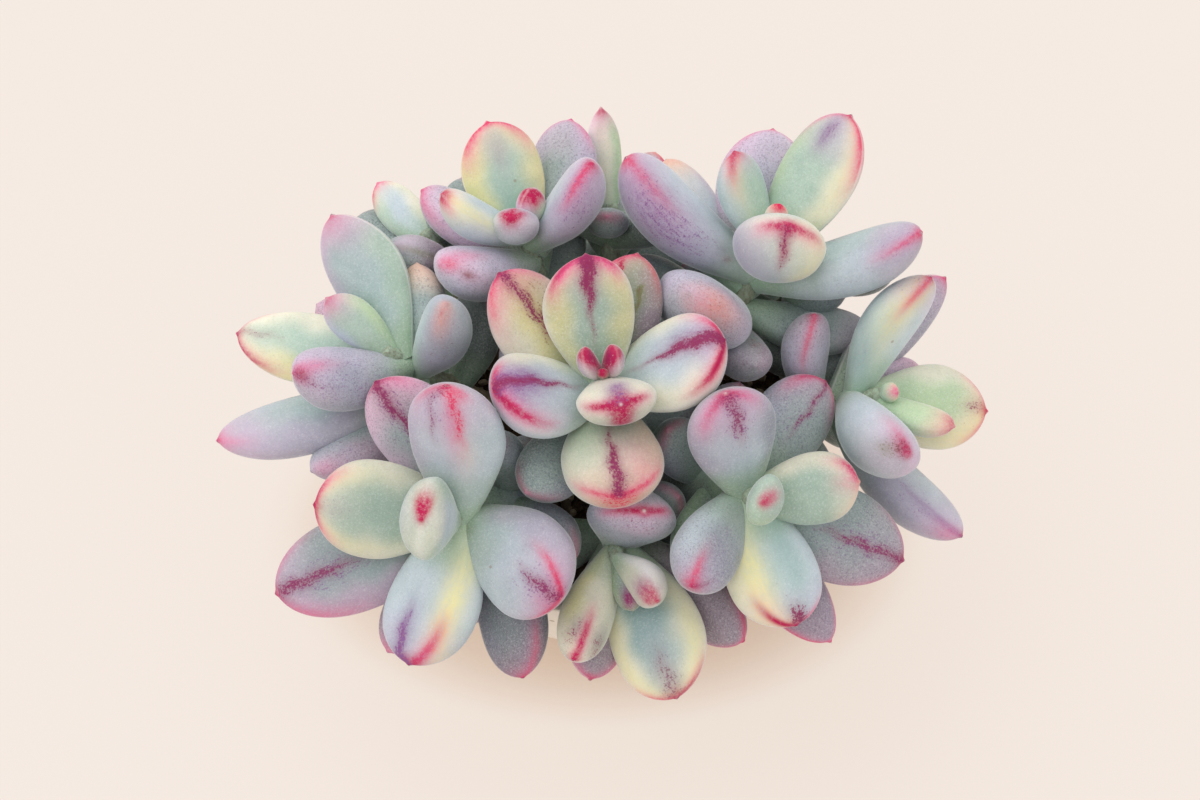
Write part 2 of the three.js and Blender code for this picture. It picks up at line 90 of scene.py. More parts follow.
# Leaf form: shares of the leaf's own length, width or thickness, the most that a leaf rolls
# in degrees, and the nib at its tip and the gaps between its points in millimetres
SWELL_AT = 0.6
SWELL_POWER = 1.15
ROOT_WIDTH = 0.34
ROOT_THICKNESS = 0.5
TIP_POWER = 2.5
WIDTH_ROUNDING = 0.58
THICKNESS_ROUNDING = 0.52
BOW = 0.06
SIDEWAYS_BEND = 0.035
LUMPINESS = 0.011
UPPER_FACE = 0.8
LOWER_FACE = 1.1
MOST_ROLL = 7.0
NIB_RADIUS = 0.6
NIB_LENGTH = 0.7
POINT_GAP = 0.72
OLD_POINT_GAP = 1.3

# Stems
STEM_RADIUS = 3.6
STEM_TOP = 0.62
STEM_PULL = 0.45
STEM_STEPS = 70
STEM_SIDES = 28
SCAR_GAP = 4.2
SCAR_HEIGHT = 0.22
BARK_SINK = 0.15

# The view: from the front, 60 degrees above the ground, 1.3 m from the middle of the plant.
# FAR_CLIP is in metres.
VIEW_TILT = math.radians(60)
VIEW_AIM = np.array([0.0, -3.0, 74.0])
VIEW_DISTANCE = 1300.0
VIEW_WIDTH = 300.0
SENSOR_WIDTH = 36.0
ACROSS = np.array([1.0, 0.0, 0.0])
UP = np.array([0.0, math.sin(VIEW_TILT), math.cos(VIEW_TILT)])
OUT = np.array([0.0, -math.cos(VIEW_TILT), math.sin(VIEW_TILT)])
RISE = np.array([0.0, 0.0, 1.0])
FAR_CLIP = 20.0

# Light: a nearly white fill and a broad soft sun, with its heading and height in degrees
FILL_COLOUR = (0.99, 0.985, 0.955)
FILL_STRENGTH = 0.91
SUN_HEADING = 140.0
SUN_HEIGHT = 58.0
SUN_ANGLE = math.radians(80)
SUN_STRENGTH = 0.95
SUN_COLOUR = (1.0, 1.0, 1.0)

# Floor, in metres. Its painted shadow under the plant is an oval, that much wider than deep, which fades
# out between these distances from the middle.
FLOOR_SIZE = 12.0
FLOOR_OVAL = 1.5
FLOOR_NEAR = (0.034, 0.06)

# Seeds of the random draws
SHOOT_SEED = 100
GRIT_SEED = 7

# The shoots. apex is the stem's top: across, up and height above the ground. axis is the
# top's heading and lean, foot is where the stem leaves the soil.
# A leaf is: name, tip across, tip up, length (negative where it points away from the
# viewer), width, thickness, drop below the stem's top.
# An old leaf, low on the stem, is: drop, turn round the stem, splay, length, width,
# thickness.
SHOOTS = [
    dict(
        name="centre", apex=(0.75, 7, 109), axis=(90, 4), foot=(0, 2), radius=4.2,
        leaves=[
            ("bud", 0.6, 7.5, 5, 3.2, 2.8, 0.5), ("c1", 4.6, 13.4, 10.5, 7.8, 5, 1.5),
            ("c2", -5, 12.4, 11, 7.8, 5, 1.5), ("c4", -3.6, 36.3, 30, 22.5, 12, 5),
            ("c5", 5.4, -1, 20, 19.5, 11.5, 4), ("c6", -27, 3, 31, 23.5, 15, 8),
            ("c7", 31, 15, 34, 24.5, 15, 8), ("c8", -25.3, 31.5, 40, 22, 12, 12),
            ("c9", 9.3, 35.8, 37, 19, 12, 13), ("c10", 4.9, -24, 33, 24.7, 18.5, 12),
        ],
        old=[
            (21, 45, 78, 30, 16, 14), (21, 135, 78, 31, 17, 14), (34, 325, 92, 30, 16, 13),
            (29, 270, 95, 25, 15, 13),
        ],
    ),
    dict(
        name="back_left", apex=(-18.75, 46.25, 104), axis=(105, 26), foot=(-9, 18),
        leaves=[
            ("tl1", -23, 45.5, 14, 11.5, 9.5, 2), ("tl2", -17.5, 54.5, 11, 9, 7.5, 2),
            ("tl3", -28, 68.5, 31, 20.8, 11, 6), ("tl4", -7.25, 70.25, -36, 19, 12, 10),
            ("tl5", -2, 59.5, 30, 17.5, 13, 7), ("tl6", -39.5, 51.75, 27, 13, 10.5, 5),
            ("tl7", -44, 52, -32, 14, 12, 10), ("tl8", -40, 34, 30, 18, 14, 12),
        ],
        old=[
            (17, 20, 82, 30, 17, 13), (25, 60, 88, 28, 15, 12), (25, -30, 90, 28, 15, 12),
            (24, 180, 70, 26, 14, 13),
        ],
    ),
    dict(
        name="back_right", apex=(43.5, 43.5, 106), axis=(65, 30), foot=(15, 16),
        leaves=[
            ("tr1", 47.5, 44.9, 27, 23, 16, 8), ("tr2", 45, 49.5, 9, 6, 5, 1),
            ("tr3", 33.6, 62, 25, 15.5, 9, 5), ("tr4", 62.6, 71, 36, 23, 12, 8),
            ("tr5", 43.5, 68.5, -38, 24, 12, 13), ("tr6", 5, 61, 42, 19.5, 17, 12),
            ("tr7", 80.8, 42, 46, 19, 15, 14), ("tr8", 22.5, 27, 34, 25, 17.5, 26),
            ("tr9", 38.75, 8.75, 28, 14, 12, 30), ("tr10", 16, 60, -42, 17, 13, 18),
            ("tr11", 67, 17.5, 34, 15, 12, 24),
        ],
        old=[
            (20, 10, 84, 32, 17, 13), (26, -50, 90, 30, 16, 12), (28, 60, 90, 28, 15, 12),
        ],
    ),
    dict(
        name="left", apex=(-53.75, 12.5, 92), axis=(172, 42), foot=(-22, 4),
        leaves=[
            ("l1", -66.9, 46, 39, 21, 12, 5), ("l2", -68.5, 25.6, 22, 11.5, 8, 3),
            ("l3", -92.5, 17, 41, 18.5, 11, 6), ("l4", -78.5, 7, 31, 20, 16, 7),
            ("l5", -95.3, -10.3, 50, 18, 13, 13), ("l6", -73, 25, -32, 14, 10, 12),
            ("l7", -46.5, 32, 26, 13, 11, 9), ("l8", -38.5, 24, 27, 15.5, 14, 10),
            ("l9", -72.5, -18, 36, 17, 13, 18),
        ],
        old=[
            (17, 40, 80, 30, 16, 13), (24, -20, 88, 30, 15, 12), (24, -100, 84, 26, 15, 12),
            (30, 60, 90, 26, 14, 12),
        ],
    ),
    dict(
        name="front_left", apex=(-38.75, -30.5, 90), axis=(235, 38), foot=(-15, -16),
        leaves=[
            ("bl1", -45.5, -29.75, 19, 20.5, 13, 3), ("bl2", -38.5, 3.5, 38, 24, 16, 7),
            ("bl3", -71.5, -26, 36, 24.5, 13, 9), ("bl4", -9.5, -49.5, 34, 26, 18, 9),
            ("bl5", -47.75, -66, 37, 23.5, 14, 7), ("bl6", -81, -48.5, 50, 24.5, 14, 15),
            ("bl12", -13.5, -11, -34, 17, 14, 15), ("bl7", -56, 4.75, 41, 21.5, 13, 17),
            ("bl8", -19, -69.5, -41, 18.5, 13, 17), ("bl9", -53, -63, -42, 19, 12, 20),
        ],
        old=[
            (24, -60, 86, 32, 17, 13), (24, 20, 88, 30, 16, 12), (26, 90, 84, 26, 15, 12),
            (30, 180, 80, 24, 14, 12),
        ],
    ),
    dict(
        name="front", apex=(4.5, -40, 74), axis=(275, 55), foot=(3, -26),
        leaves=[
            ("bc1", 15.3, -51, 18, 10.5, 9, 0.8), ("bc2", 8.3, -52.6, 15.5, 7.5, 6, 1.8),
            ("bc3", 19.5, -75.5, 42.5, 24, 13, 7), ("bc4", -6.8, -66, 35.5, 13.5, 12, 7),
            ("bc5", 11, -28, 25, 21.7, 13.5, 9), ("bc6", -1.5, -67.5, 37, 16, 12, 13),
            ("bc7", 36, -60, -42.5, 17, 13, 14),
        ],
        old=[
            (19, 20, 85, 24, 14, 11), (20, 120, 80, 24, 13, 11), (21, -50, 88, 30, 15, 12),
        ],
    ),
    dict(
        name="front_right", apex=(39.5, -24.5, 92), axis=(300, 38), foot=(17, -14),
        leaves=[
            ("br1", 41.2, -25.6, 13, 13, 9, 2), ("br2", 31.4, 1.5, 31, 22.5, 15, 7),
            ("br3", 64.7, -20.4, 27, 18, 13.5, 5), ("br4", 48.75, -56.4, 34, 23.5, 14, 7),
            ("br5", 22.25, -47.75, 32, 17.5, 15, 9), ("br6", 76.25, -40.4, 43, 24, 14, 12),
            ("br7", 55.25, 3.8, -36, 20, 14, 12), ("br13", 15, -20, -30, 15, 13, 15),
            ("br8", 57.7, -60.4, -44, 17, 13, 18),
        ],
        old=[
            (24, -30, 86, 30, 16, 12), (24, 60, 86, 30, 16, 12), (26, 150, 84, 26, 14, 12),
            (30, 230, 84, 24, 14, 12),
        ],
    ),
    dict(
        name="right", apex=(72, 1.5, 84), axis=(352, 58), foot=(27, 1),
        leaves=[
            ("r6", 75.5, 2.5, 6, 5, 4, 1), ("r5", 89, -7, 20, 11, 8, 3),
            ("r4", 97, -2.85, -31, 22, 11, 6), ("r1", 82.6, 31.5, 35, 18.5, 12, 8),
            ("r3", 78, -14, 30, 22, 16, 9), ("r2", 87, 31, -41, 16, 12, 13),
            ("r8", 81.25, 9.1, -24, 11, 9, 10), ("r7", 90.25, -34, -45, 17.5, 13, 13),
            ("r9", 53.5, 22.5, 26, 14, 12, 19),
        ],
        old=[
            (19, 20, 80, 30, 15, 12), (25, -60, 84, 28, 15, 12), (25, 100, 84, 28, 14, 12),
        ],
    ),
    dict(
        name="back", apex=(3, 49, 90), axis=(88, 44), foot=(2, 32),
        leaves=[
            ("b1", 0.25, 72.75, 28, 8.5, 6, 3), ("b2", 14.9, 63.5, -26, 14, 10, 7),
        ],
        old=[
            (2, 0, 30, 10, 6, 5), (3, 180, 40, 16, 11, 8), (8, -90, 55, 27, 16, 11),
            (8, 60, 60, 26, 14, 11), (13, 0, 75, 29, 17, 12), (20, 45, 88, 28, 15, 12),
            (20, -50, 88, 28, 15, 12),
        ],
    ),
    dict(
        name="far_left", apex=(-43.75, 42, 90), axis=(135, 42), foot=(-26, 22),
        leaves=[
            ("lb1", -55, 53.5, -24, 11, 9, 3), ("lb2", -52, 39, 22, 14.5, 12, 8),
            ("lb3", -56, 40.75, -28, 11, 9, 10),
        ],
        old=[
            (2, 90, 30, 11, 7, 5), (3, -90, 40, 15, 9, 7), (9, 0, 62, 28, 16, 11),
            (13, -80, 75, 26, 15, 12), (20, 30, 88, 28, 15, 12), (20, -40, 90, 26, 14, 12),
        ],
    ),
    dict(
        name="far_right", apex=(55, 36, 82), axis=(50, 48), foot=(30, 18),
        leaves=[],
        old=[
            (2, 40, 25, 12, 7, 6), (2, 220, 25, 11, 7, 6), (5, 130, 55, 22, 14, 10),
            (5, -50, 55, 23, 14, 10), (10, 40, 70, 27, 16, 12), (12, 215, 70, 24, 14, 12),
            (17, 130, 84, 27, 15, 12), (17, -50, 84, 27, 15, 12), (23, 20, 90, 26, 14, 12),
        ],
    ),
]

# Leaves of the buds, which hardly give way to their neighbours
BUD_LEAVES = {
    "bud", "c1", "c2", "tl1", "tl2", "tr2", "l2", "bl1", "bc1", "bc2", "br1", "r5", "r6", "lb1",
}

# Settling: how the leaves give way to each other. Feelers are balls along each leaf, three
# abreast, at these shares of its length.
ROUNDS = 60
NEIGHBOUR_REACH = 34.0
FEELERS_ALONG = np.repeat([0.3, 0.45, 0.6, 0.75, 0.88], 3)
FEELERS_ACROSS = np.tile([-1.0, 0.0, 1.0], 5)
NEAR_ROOT = FEELERS_ALONG < 0.5
NEAR_OWN_STEM = FEELERS_ALONG < 0.45
APART = -1.0
SIDE_FEELER = 0.72
SAME_SHOOT_ALLOWANCE = 0.8
STEM_FEELER_STEP = 4.0
RIM_FEELER = 3.0
PUSH_SHARE = 0.6
LONGEST_PUSH = 2.5
LEAF_HOLD = (0.25, 0.25)
BUD_HOLD = (0.05, 0.5)
FREE_HOLD = (1.0, 0.0)

# Colours, as red, green and blue from 0 to 255: those of leaves and marks, then those of powder, bark, pot,
# soil, grit and floor. white and the colour of pale edges also give painted highlights on the leaves, and
# the floor's colours under the plant give its painted shadow.
COLOURS = dict(
    sage=(184, 205, 190), powder=(182, 200, 202), teal=(156, 186, 186), ice=(198, 210, 219),
    green=(194, 214, 178), moss=(164, 190, 160), cream=(238, 234, 214), yellow=(238, 230, 176),
    peach=(240, 208, 186), lavender=(190, 184, 203), lilac=(212, 190, 212), rose=(224, 176, 196),
    mauve=(178, 160, 174), slate=(164, 168, 182), grey=(162, 176, 175), dusk=(126, 136, 132),
    crimson=(186, 12, 78), plum=(140, 34, 90), violet=(136, 88, 146), red=(222, 30, 84),
    pink=(232, 98, 146), orange=(230, 138, 112), olive=(126, 130, 88), brown=(134, 74, 70),
    white=(252, 248, 246),
    haze=(196, 212, 210), bloom=(238, 240, 240), pore=(150, 146, 160), freckle=(122, 88, 118),
    deep=(250, 130, 190), pale_edge=(246, 242, 240), scar=(150, 120, 100), bark=(150, 128, 104),
    young_bark=(176, 194, 172), crack=(104, 84, 66), ceramic=(236, 226, 212),
    ceramic_cloud=(226, 214, 198), fleck=(150, 122, 98), wet_soil=(52, 40, 32),
    dry_soil=(104, 84, 66), dark_grit=(96, 78, 62), light_grit=(196, 178, 152),
    # then grit dust, and the floor's paper and glow under the plant, where they paint its shadow, and away
    # from it
    grit_dust=(92, 76, 62), near_paper=(168, 165, 160), far_paper=(110, 112, 118),
    paper_tooth=(90, 92, 98), near_glow=(243, 204, 174), far_glow=(247, 232, 218),
)
GREY_COLOURS = {"lavender", "lilac", "mauve", "slate", "grey", "dusk"}


# Marks on a leaf. Each has a colour and a strength. A stain is soft, a speckle breaks up into dots. A white
# tip is a painted highlight on the nib, laid with the stains.

def streak(colour, reach, width, fan=0.6, strength=1.0, lean=0.0, offset=0.0, start=0.0, under=False):
    """A speckled stripe from the tip back along the middle of a face. reach and start are
    shares of the leaf's length, width and offset are in millimetres, fan is how much wider
    it gets at the tip, lean is how it slants."""
    return dict(locals(), kind="streak", layer="speckle")


def line(colour, angle, reach, width=1.0, strength=1.0, layer="stain"):
    """A stripe from the tip back along the leaf. angle says where round the leaf it lies:
    0 is the left margin, 90 the middle of the upper face, 180 the right margin."""
    return dict(locals(), kind="line")


def arm(colour, side, reach, lift=0.0, width=1.0, strength=1.0):
    """A line along the left margin for side 1, the right one for -1, lifted onto the upper face."""
    return line(colour, lift if side > 0 else 180 - lift, reach, width, strength)


def arms(colour, left, right, lift=0.0, width=1.0, strength=1.0):
    """An arm along each margin, as far back as left and right say."""
    return [arm(colour, side, reach, lift, width, strength) for side, reach in ((1, left), (-1, right))]


def spot(colour, back, angle, length, width, strength=1.0, layer="stain"):
    """An oval whose middle is back from the tip, at that angle round the leaf."""
    return dict(locals(), kind="spot")


def tip(colour, size, strength=1.0):
    """A round stain at the tip, of that size in millimetres. In white it is a painted highlight on the nib.
    """
    return dict(locals(), kind="tip", layer="stain")


def patch(colour, back, across, length, width, strength=1.0, layer="stain", under=False):
    """An oval on a face: its middle is back from the tip as a share of the leaf's length,
    and across as a share of its half width."""
    return dict(locals(), kind="patch")


def look(colours, *marks, tone=1.0, rim=0.0, marked=1.0):
    """How a leaf looks: the colours of its middle, left side, right side and tip, and its marks. Left is
    seen from above with the tip pointing away. tone makes the leaf lighter or darker: partly its own
    colour, partly painted light and shade where the leaf lies lit or shaded. rim is how pale its margins
    are: partly powder, partly a painted highlight along the outline. marked is how strong all its marks
    are."""
    marks = [dict(mark, strength=mark["strength"] * marked) for mark in marks]
    return dict(colours=colours.split(), marks=marks, tone=tone, rim=rim)


# The two young leaves of the middle shoot are marked alike
YOUNG_MARKS = [
    *arms("crimson", 0.5, 0.5, 50, 1.6), patch("crimson", 0.35, 0, 8.5, 6),
    patch("plum", 0.3, 0, 6, 3.4, 0.7), tip("crimson", 1.6),
]

# The leaves that the view shows, by name
# In these looks the tone setting is partly painted light and shade, rim is partly a painted highlight, and
# a white tip is a painted highlight on the nib.
LOOKS = dict(
    bud=look("green green green rose", tip("crimson", 2)),
    c1=look("rose white lilac rose", *YOUNG_MARKS, tone=0.79, rim=0.6),
    c2=look("rose lilac white rose", *YOUNG_MARKS, tone=0.79, rim=0.6),
    c4=look("sage yellow yellow cream", *arms("pink", 0.55, 0.45, 32, 2.4, 0.8),
        *arms("crimson", 0.5, 0.34, 26, 1.1, 0.9), tip("pink", 6.5, 0.55),
        streak("plum", 0.85, 1.8, 0, 0.6), streak("plum", 0.55, 5.2, 0.3), tip("crimson", 2.6, 0.8),
        tone=0.79, rim=0.7, marked=1.1),
    c5=look("cream cream cream cream", patch("violet", 0.3, 0, 9, 7, 0.6),
        streak("violet", 0.5, 6, 0.2, 0.6), patch("plum", 0.3, 0, 9, 6, 0.8, under=True),
        *arms("pink", 0.6, 0.66, 8, 2.4, 0.5), *arms("crimson", 0.5, 0.66, 8, 1.1),
        # the white tip is a painted highlight on the nib
        patch("crimson", 0.24, 0, 7, 5, 0.8, under=True), tip("crimson", 3.2), tip("white", 0.4, 0.7),
        tone=0.9, rim=0.4, marked=0.92),
    c6=look("ice ice cream lilac", patch("violet", 0.26, 0.1, 15, 14, 0.5), tip("pink", 4, 0.4),
        streak("violet", 0.6, 9, 0.2, 0.75), streak("plum", 0.9, 2.2, 1.5, lean=0.04),
        line("pink", 26, 0.75, 3, 0.6), line("crimson", 26, 0.66, 1.3),
        line("red", 146, 0.34, 1.8, 0.7), tone=0.95, rim=0.3),
    c7=look("ice cream cream lilac", patch("violet", 0.3, 0.15, 16, 9, 0.35),
        arm("peach", -1, 0.6, 10, 3, 0.5), arm("pink", 1, 0.5, 30, 3, 0.6),
        arm("red", 1, 0.3, 34, 1.4, 0.7), line("pink", 158, 0.6, 2.4, 0.6),
        line("crimson", 158, 0.6, 1.1), streak("plum", 0.92, 1.6, 0, 0.8), streak("plum", 0.62, 6, 0),
        tip("crimson", 2, 0.7), rim=0.5, marked=1.1),
    c8=look("yellow cream cream peach", tip("pink", 8, 0.45), arm("pink", 1, 0.6, 24, 3.6, 0.4),
        arm("red", 1, 0.42, 26, 1.4, 0.4), arm("pink", -1, 0.42, 24, 2.6, 0.6),
        patch("brown", 0.35, -0.25, 18, 12, 0.45, "speckle"), streak("plum", 0.8, 3.4, 0.3, 0.85),
        tip("crimson", 2, 0.8), tone=0.88, rim=0.3, marked=0.92),
    c9=look("sage cream mauve peach", arm("pink", 1, 0.6, 24, 3, 0.6),
        *arms("red", 0.4, 0.4, 20, 1.5, 0.45), patch("crimson", 0.14, 0.3, 5, 2, layer="speckle"),
        streak("olive", 0.8, 2, 0, offset=-3.6, start=0.25), tip("crimson", 1.8, 0.8), tone=0.66),
    c10=look("cream peach cream peach", patch("dusk", 0.62, 0.15, 20, 22, 0.5),
        patch("moss", 0.6, -0.5, 16, 10, 0.5), patch("pink", 0.3, 0.45, 12, 10, 0.28),
        patch("red", 0.1, 0, 10, 12, 0.75, "speckle", True),
        patch("orange", 0.2, 0, 10, 12, 0.4, under=True), streak("plum", 0.85, 2.2, 0, 0.75),
        streak("plum", 0.6, 5.6, 0, 0.8), line("pink", 14, 0.55, 2.2, 0.55),
        line("red", 14, 0.5, 0.9, 0.6), line("pink", 172, 0.5, 2.2, 0.5),
        # the white tip is a painted highlight on the nib
        line("red", 172, 0.42, 0.8, 0.5), tip("crimson", 1.6, 0.8), tip("white", 0.4, 0.5), tone=0.85,
        rim=0.3, marked=0.92),
    tl1=look("ice lavender sage lilac", line("crimson", 40, 0.5, 1.5), line("crimson", 140, 0.42, 1.5),
        streak("crimson", 0.55, 3.4), tip("crimson", 2.6), rim=0.3, marked=0.7),
    tl2=look("green cream lilac rose", line("crimson", -60, 0.6, 1.5), line("crimson", 180, 0.6, 1.4),
        line("crimson", -120, 0.6, 2), tip("crimson", 2.4), tone=1.12),
    tl3=look("sage yellow yellow peach", patch("teal", 0.75, 0.1, 18, 9, 0.6),
        patch("mauve", 0.28, 0.05, 10, 4.5, 0.5), *arms("pink", 0.55, 0.55, 26, 2.6, 0.85),
        *arms("red", 0.45, 0.4, 14, 1.1, 0.8), tip("red", 2, 0.7), tone=1.03, marked=0.8),
    tl4=look("grey lavender lavender lilac", patch("mauve", 0.2, -0.2, 9, 6, 0.4, "speckle"),
        *arms("pink", 0.4, 0.35, 10, 2.2, 0.75), tone=1.08, marked=0.8),
    tl5=look("ice lilac lavender lilac", spot("violet", 0.3, 180, 18, 12, 0.4),
        spot("violet", 0.35, 180, 20, 14, 0.5, "speckle"), spot("mauve", 0.2, 166, 14, 12, 0.5),
        line("pink", 148, 0.6, 2.2, 0.75), line("red", 148, 0.55, 1, 0.8), tip("crimson", 2.4, 0.8),
        tone=1.12, marked=0.72),
    tl6=look("ice ice sage cream", line("yellow", 26, 0.95, 2.4, 0.75), tip("pink", 4, 0.45),
        line("pink", -20, 0.3, 1.6, 0.5), tip("crimson", 2.4), tone=1.08, marked=0.85),
    tl7=look("lavender lilac lavender lilac", line("pink", 2, 0.5, 2.2, 0.7), tip("pink", 4, 0.6),
        tip("crimson", 1.8, 0.6), tone=1.12, marked=0.7),
    tl8=look("lavender lavender lilac lilac", spot("pink", 0.15, 60, 12, 6, 0.3),
        line("pink", 66, 0.6, 2.6, 0.45), spot("red", 0.1, 30, 5, 4, 0.75),
        spot("crimson", 0.26, 2, 4.4, 3.6, 0.35), spot("brown", 0.26, 2, 3, 2.2, 0.9), tone=1.12,
        marked=0.6),
    tr1=look("ice cream lavender cream", patch("yellow", 0.55, 0.6, 16, 10, 0.7, under=True),
        patch("lavender", 0.5, -0.5, 16, 10, 0.7, under=True), *arms("pink", 0.55, 0.45, -8, 2.6, 0.7),
        *arms("crimson", 0.5, 0.34, -4, 1.2, 0.9), streak("plum", 0.5, 3.4, 0.9, under=True),
        patch("crimson", 0.2, 0, 6, 3, 0.6, under=True), tip("crimson", 2.6), marked=0.65),
    tr2=look("cream cream cream peach", tip("red", 2.2)),
    tr3=look("sage powder powder ice", line("yellow", 50, 0.95, 2.6, 0.6), tip("pink", 4.6, 0.6),
        line("pink", 42, 0.6, 2.4, 0.6), line("crimson", 42, 0.42, 1.3, 0.9), tip("crimson", 2.2, 0.9),
        tone=1.05, marked=0.68),
    tr4=look("sage green cream lilac", line("yellow", 148, 0.95, 3, 0.45),
        patch("violet", 0.18, 0.1, 10, 5, 0.45), patch("violet", 0.16, 0.1, 8, 4, 0.5, "speckle"),
        arm("pink", -1, 0.62, 12, 2.2, 0.7), arm("red", -1, 0.5, 6, 0.9, 0.7),
        arm("pink", 1, 0.45, 12, 2.2, 0.7), tip("crimson", 1.8, 0.7)),
    tr5=look("lavender lilac ice lilac", *arms("pink", 0.5, 0.6, 6, 1.8, 0.7), tip("red", 1.8, 0.5),
        tone=1.12, marked=0.75),
    tr6=look("ice ice ice lilac", spot("lavender", 0.35, 10, 40, 22, 0.7),
        spot("violet", 0.36, -5, 30, 14, 0.45), spot("violet", 0.42, 0, 34, 16, 0.6, "speckle"),
        line("pink", 34, 0.62, 3, 0.35), line("red", 36, 0.5, 1.3, 0.4), tip("red", 3.2, 0.7),
        spot("brown", 0.8, 20, 2.4, 2, 0.5), spot("dusk", 0.74, 40, 5, 3, 0.4), tone=1.12, marked=0.85),
    tr7=look("powder lavender ice lilac", spot("violet", 0.16, 150, 22, 14, 0.3),
        spot("violet", 0.16, 150, 18, 14, 0.4, "speckle"), line("pink", 160, 0.42, 1.8, 0.7),
        line("red", 162, 0.3, 0.8, 0.7), tip("red", 2.6, 0.7), marked=0.6),
    tr8=look("slate lavender lavender lavender", spot("orange", 0.22, 4, 12, 11, 0.7),
        spot("pink", 0.1, -30, 8, 8, 0.2), spot("brown", 0.34, 10, 20, 20, 0.3, "speckle"), tone=1.12,
        marked=0.8),
    tr9=look("grey mauve slate mauve", patch("brown", 0.3, 0.1, 7, 5, 0.5, "speckle")),
    tr10=look("ice ice lavender peach", tip("orange", 5, 0.5), tone=1.12),
    tr11=look("grey dusk grey mauve", tone=1.12),
    l1=look("powder lavender sage lilac", arm("lilac", 1, 0.5, 20, 3.4, 0.5), tip("pink", 6, 0.6),
        arm("pink", 1, 0.16, 10, 1.6, 0.4), tip("crimson", 1.8, 0.7), marked=0.65),
    l2=look("sage ice green lilac", tip("pink", 4.6, 0.75), tip("crimson", 2.4, 0.85), tone=1.09,
        marked=0.5),
    l3=look("sage yellow cream cream", patch("powder", 0.85, -0.1, 22, 10, 0.7),
        arm("pink", 1, 0.5, 22, 2.2, 0.7), arm("crimson", 1, 0.4, 14, 1.2, 0.9),
        arm("pink", -1, 0.3, 16, 1.6, 0.8), streak("plum", 0.34, 2.2, 0, 0.6),
        tip("crimson", 2.6, 0.85), tone=1.08, marked=0.65),
    l4=look("lavender slate lavender lilac", spot("violet", 0.4, 28, 26, 18, 0.4, "speckle"),
        line("pink", 60, 0.5, 2.4, 0.7), spot("crimson", 0.1, 28, 6, 5, 0.75),
        spot("brown", 0.1, 28, 4, 3, 0.5), line("plum", 4, 0.45, 1.6, 0.6, "speckle"), tone=1.12,
        marked=0.7),
    l5=look("powder lavender ice lilac", spot("lilac", 0.15, 43, 20, 16, 0.5),
        line("pink", 40, 0.24, 1.8, 0.5), tip("pink", 4, 0.7), tip("crimson", 1.5, 0.7), marked=0.65),
    l6=look("lilac lilac lavender rose"),
    l7=look("grey powder grey peach", tip("orange", 5, 0.4), tone=1.12, marked=0.7),
    l8=look("powder ice slate slate", spot("slate", 0.4, 160, 24, 14, 0.4),
        line("orange", 158, 0.46, 2.8, 0.7), spot("brown", 0.4, 170, 20, 12, 0.35, "speckle"),
        spot("crimson", 0.1, 150, 1.2, 1, 0.6), tone=1.12, marked=0.62),
    l9=look("grey mauve sage lavender", spot("pink", 0.12, 30, 8, 6, 0.6),
        spot("violet", 0.3, 35, 20, 14, 0.3, "speckle"), tone=1.12, marked=0.55),
    bl1=look("ice sage sage cream", line("crimson", 150, 0.4, 1.3, 0.9),
        line("crimson", 205, 0.42, 1.3, 0.9), spot("crimson", 0.2, 178, 7, 6, 0.95), tone=0.89, rim=0.3,
        marked=0.8),
    bl2=look("ice lavender ice lilac", patch("lilac", 0.3, 0.2, 18, 14, 0.6),
        patch("peach", 0.5, -0.35, 12, 6, 0.4), *arms("red", 0.34, 0.26, 24, 2, 0.75),
        patch("violet", 0.24, 0.1, 14, 12, 0.4, "speckle"), patch("pink", 0.3, -0.16, 16, 5, 0.6),
        streak("red", 0.56, 3.6, 0.8, lean=-0.08, offset=-2.6),
        streak("plum", 0.52, 2.6, 0.6, 0.75, 0.04, 3), tone=0.88, marked=0.58),
    bl3=look("sage cream cream cream", *arms("yellow", 0.8, 0.7, 40, 2.6, 0.5),
        patch("violet", 0.16, 0, 9, 6, 0.35, "speckle"), arm("pink", 1, 0.4, 22, 2.4, 0.7),
        arm("pink", -1, 0.44, 22, 2.6, 0.8), *arms("crimson", 0.2, 0.26, 14, 1.6, 0.9),
        tip("crimson", 2.6), tone=0.86, marked=0.8),
    bl4=look("ice lavender ice lilac", patch("lilac", 0.2, 0.2, 18, 16, 0.3),
        patch("violet", 0.24, -0.1, 16, 14, 0.4, "speckle"), streak("plum", 0.5, 5, 0, 0.85, 0.02),
        patch("pink", 0.1, -0.3, 8, 8, 0.4), arm("pink", 1, 0.56, 58, 2.2, 0.5),
        arm("red", 1, 0.52, 58, 0.9, 0.9), arm("pink", -1, 0.4, 0, 2.6, 0.5),
        # the white tip is a painted highlight on the nib
        arm("red", -1, 0.36, 0, 1.3, 0.8), patch("olive", 0.9, -0.1, 5, 4, 0.4), tip("white", 0.4, 0.6),
        tone=0.88, marked=0.85),
    bl5=look("ice ice ice lavender", patch("yellow", 0.5, 0.5, 30, 7, 0.9),
        arm("crimson", 1, 0.5, 60, 1.4, 0.95), arm("pink", 1, 0.55, 60, 3, 0.5),
        patch("violet", 0.3, -0.25, 12, 6, 0.4),
        streak("violet", 0.5, 3.4, 0.3, lean=-0.06, offset=-2.6), tip("crimson", 3.2, 0.9),
        marked=0.92),
    bl6=look("powder lilac grey lilac", arm("pink", 1, 0.6, 14, 3.2, 0.55),
        arm("pink", -1, 0.45, 14, 2.2, 0.4), patch("dusk", 0.45, 0, 26, 12, 0.3),
        patch("violet", 0.3, 0, 22, 11, 0.45, "speckle"),
        streak("plum", 0.55, 4.2, 0.2, 0.75, start=0.04), tip("crimson", 1.6, 0.6), tone=0.84),
    bl7=look("grey lilac lilac rose", patch("violet", 0.3, 0, 24, 13, 0.5, "speckle"),
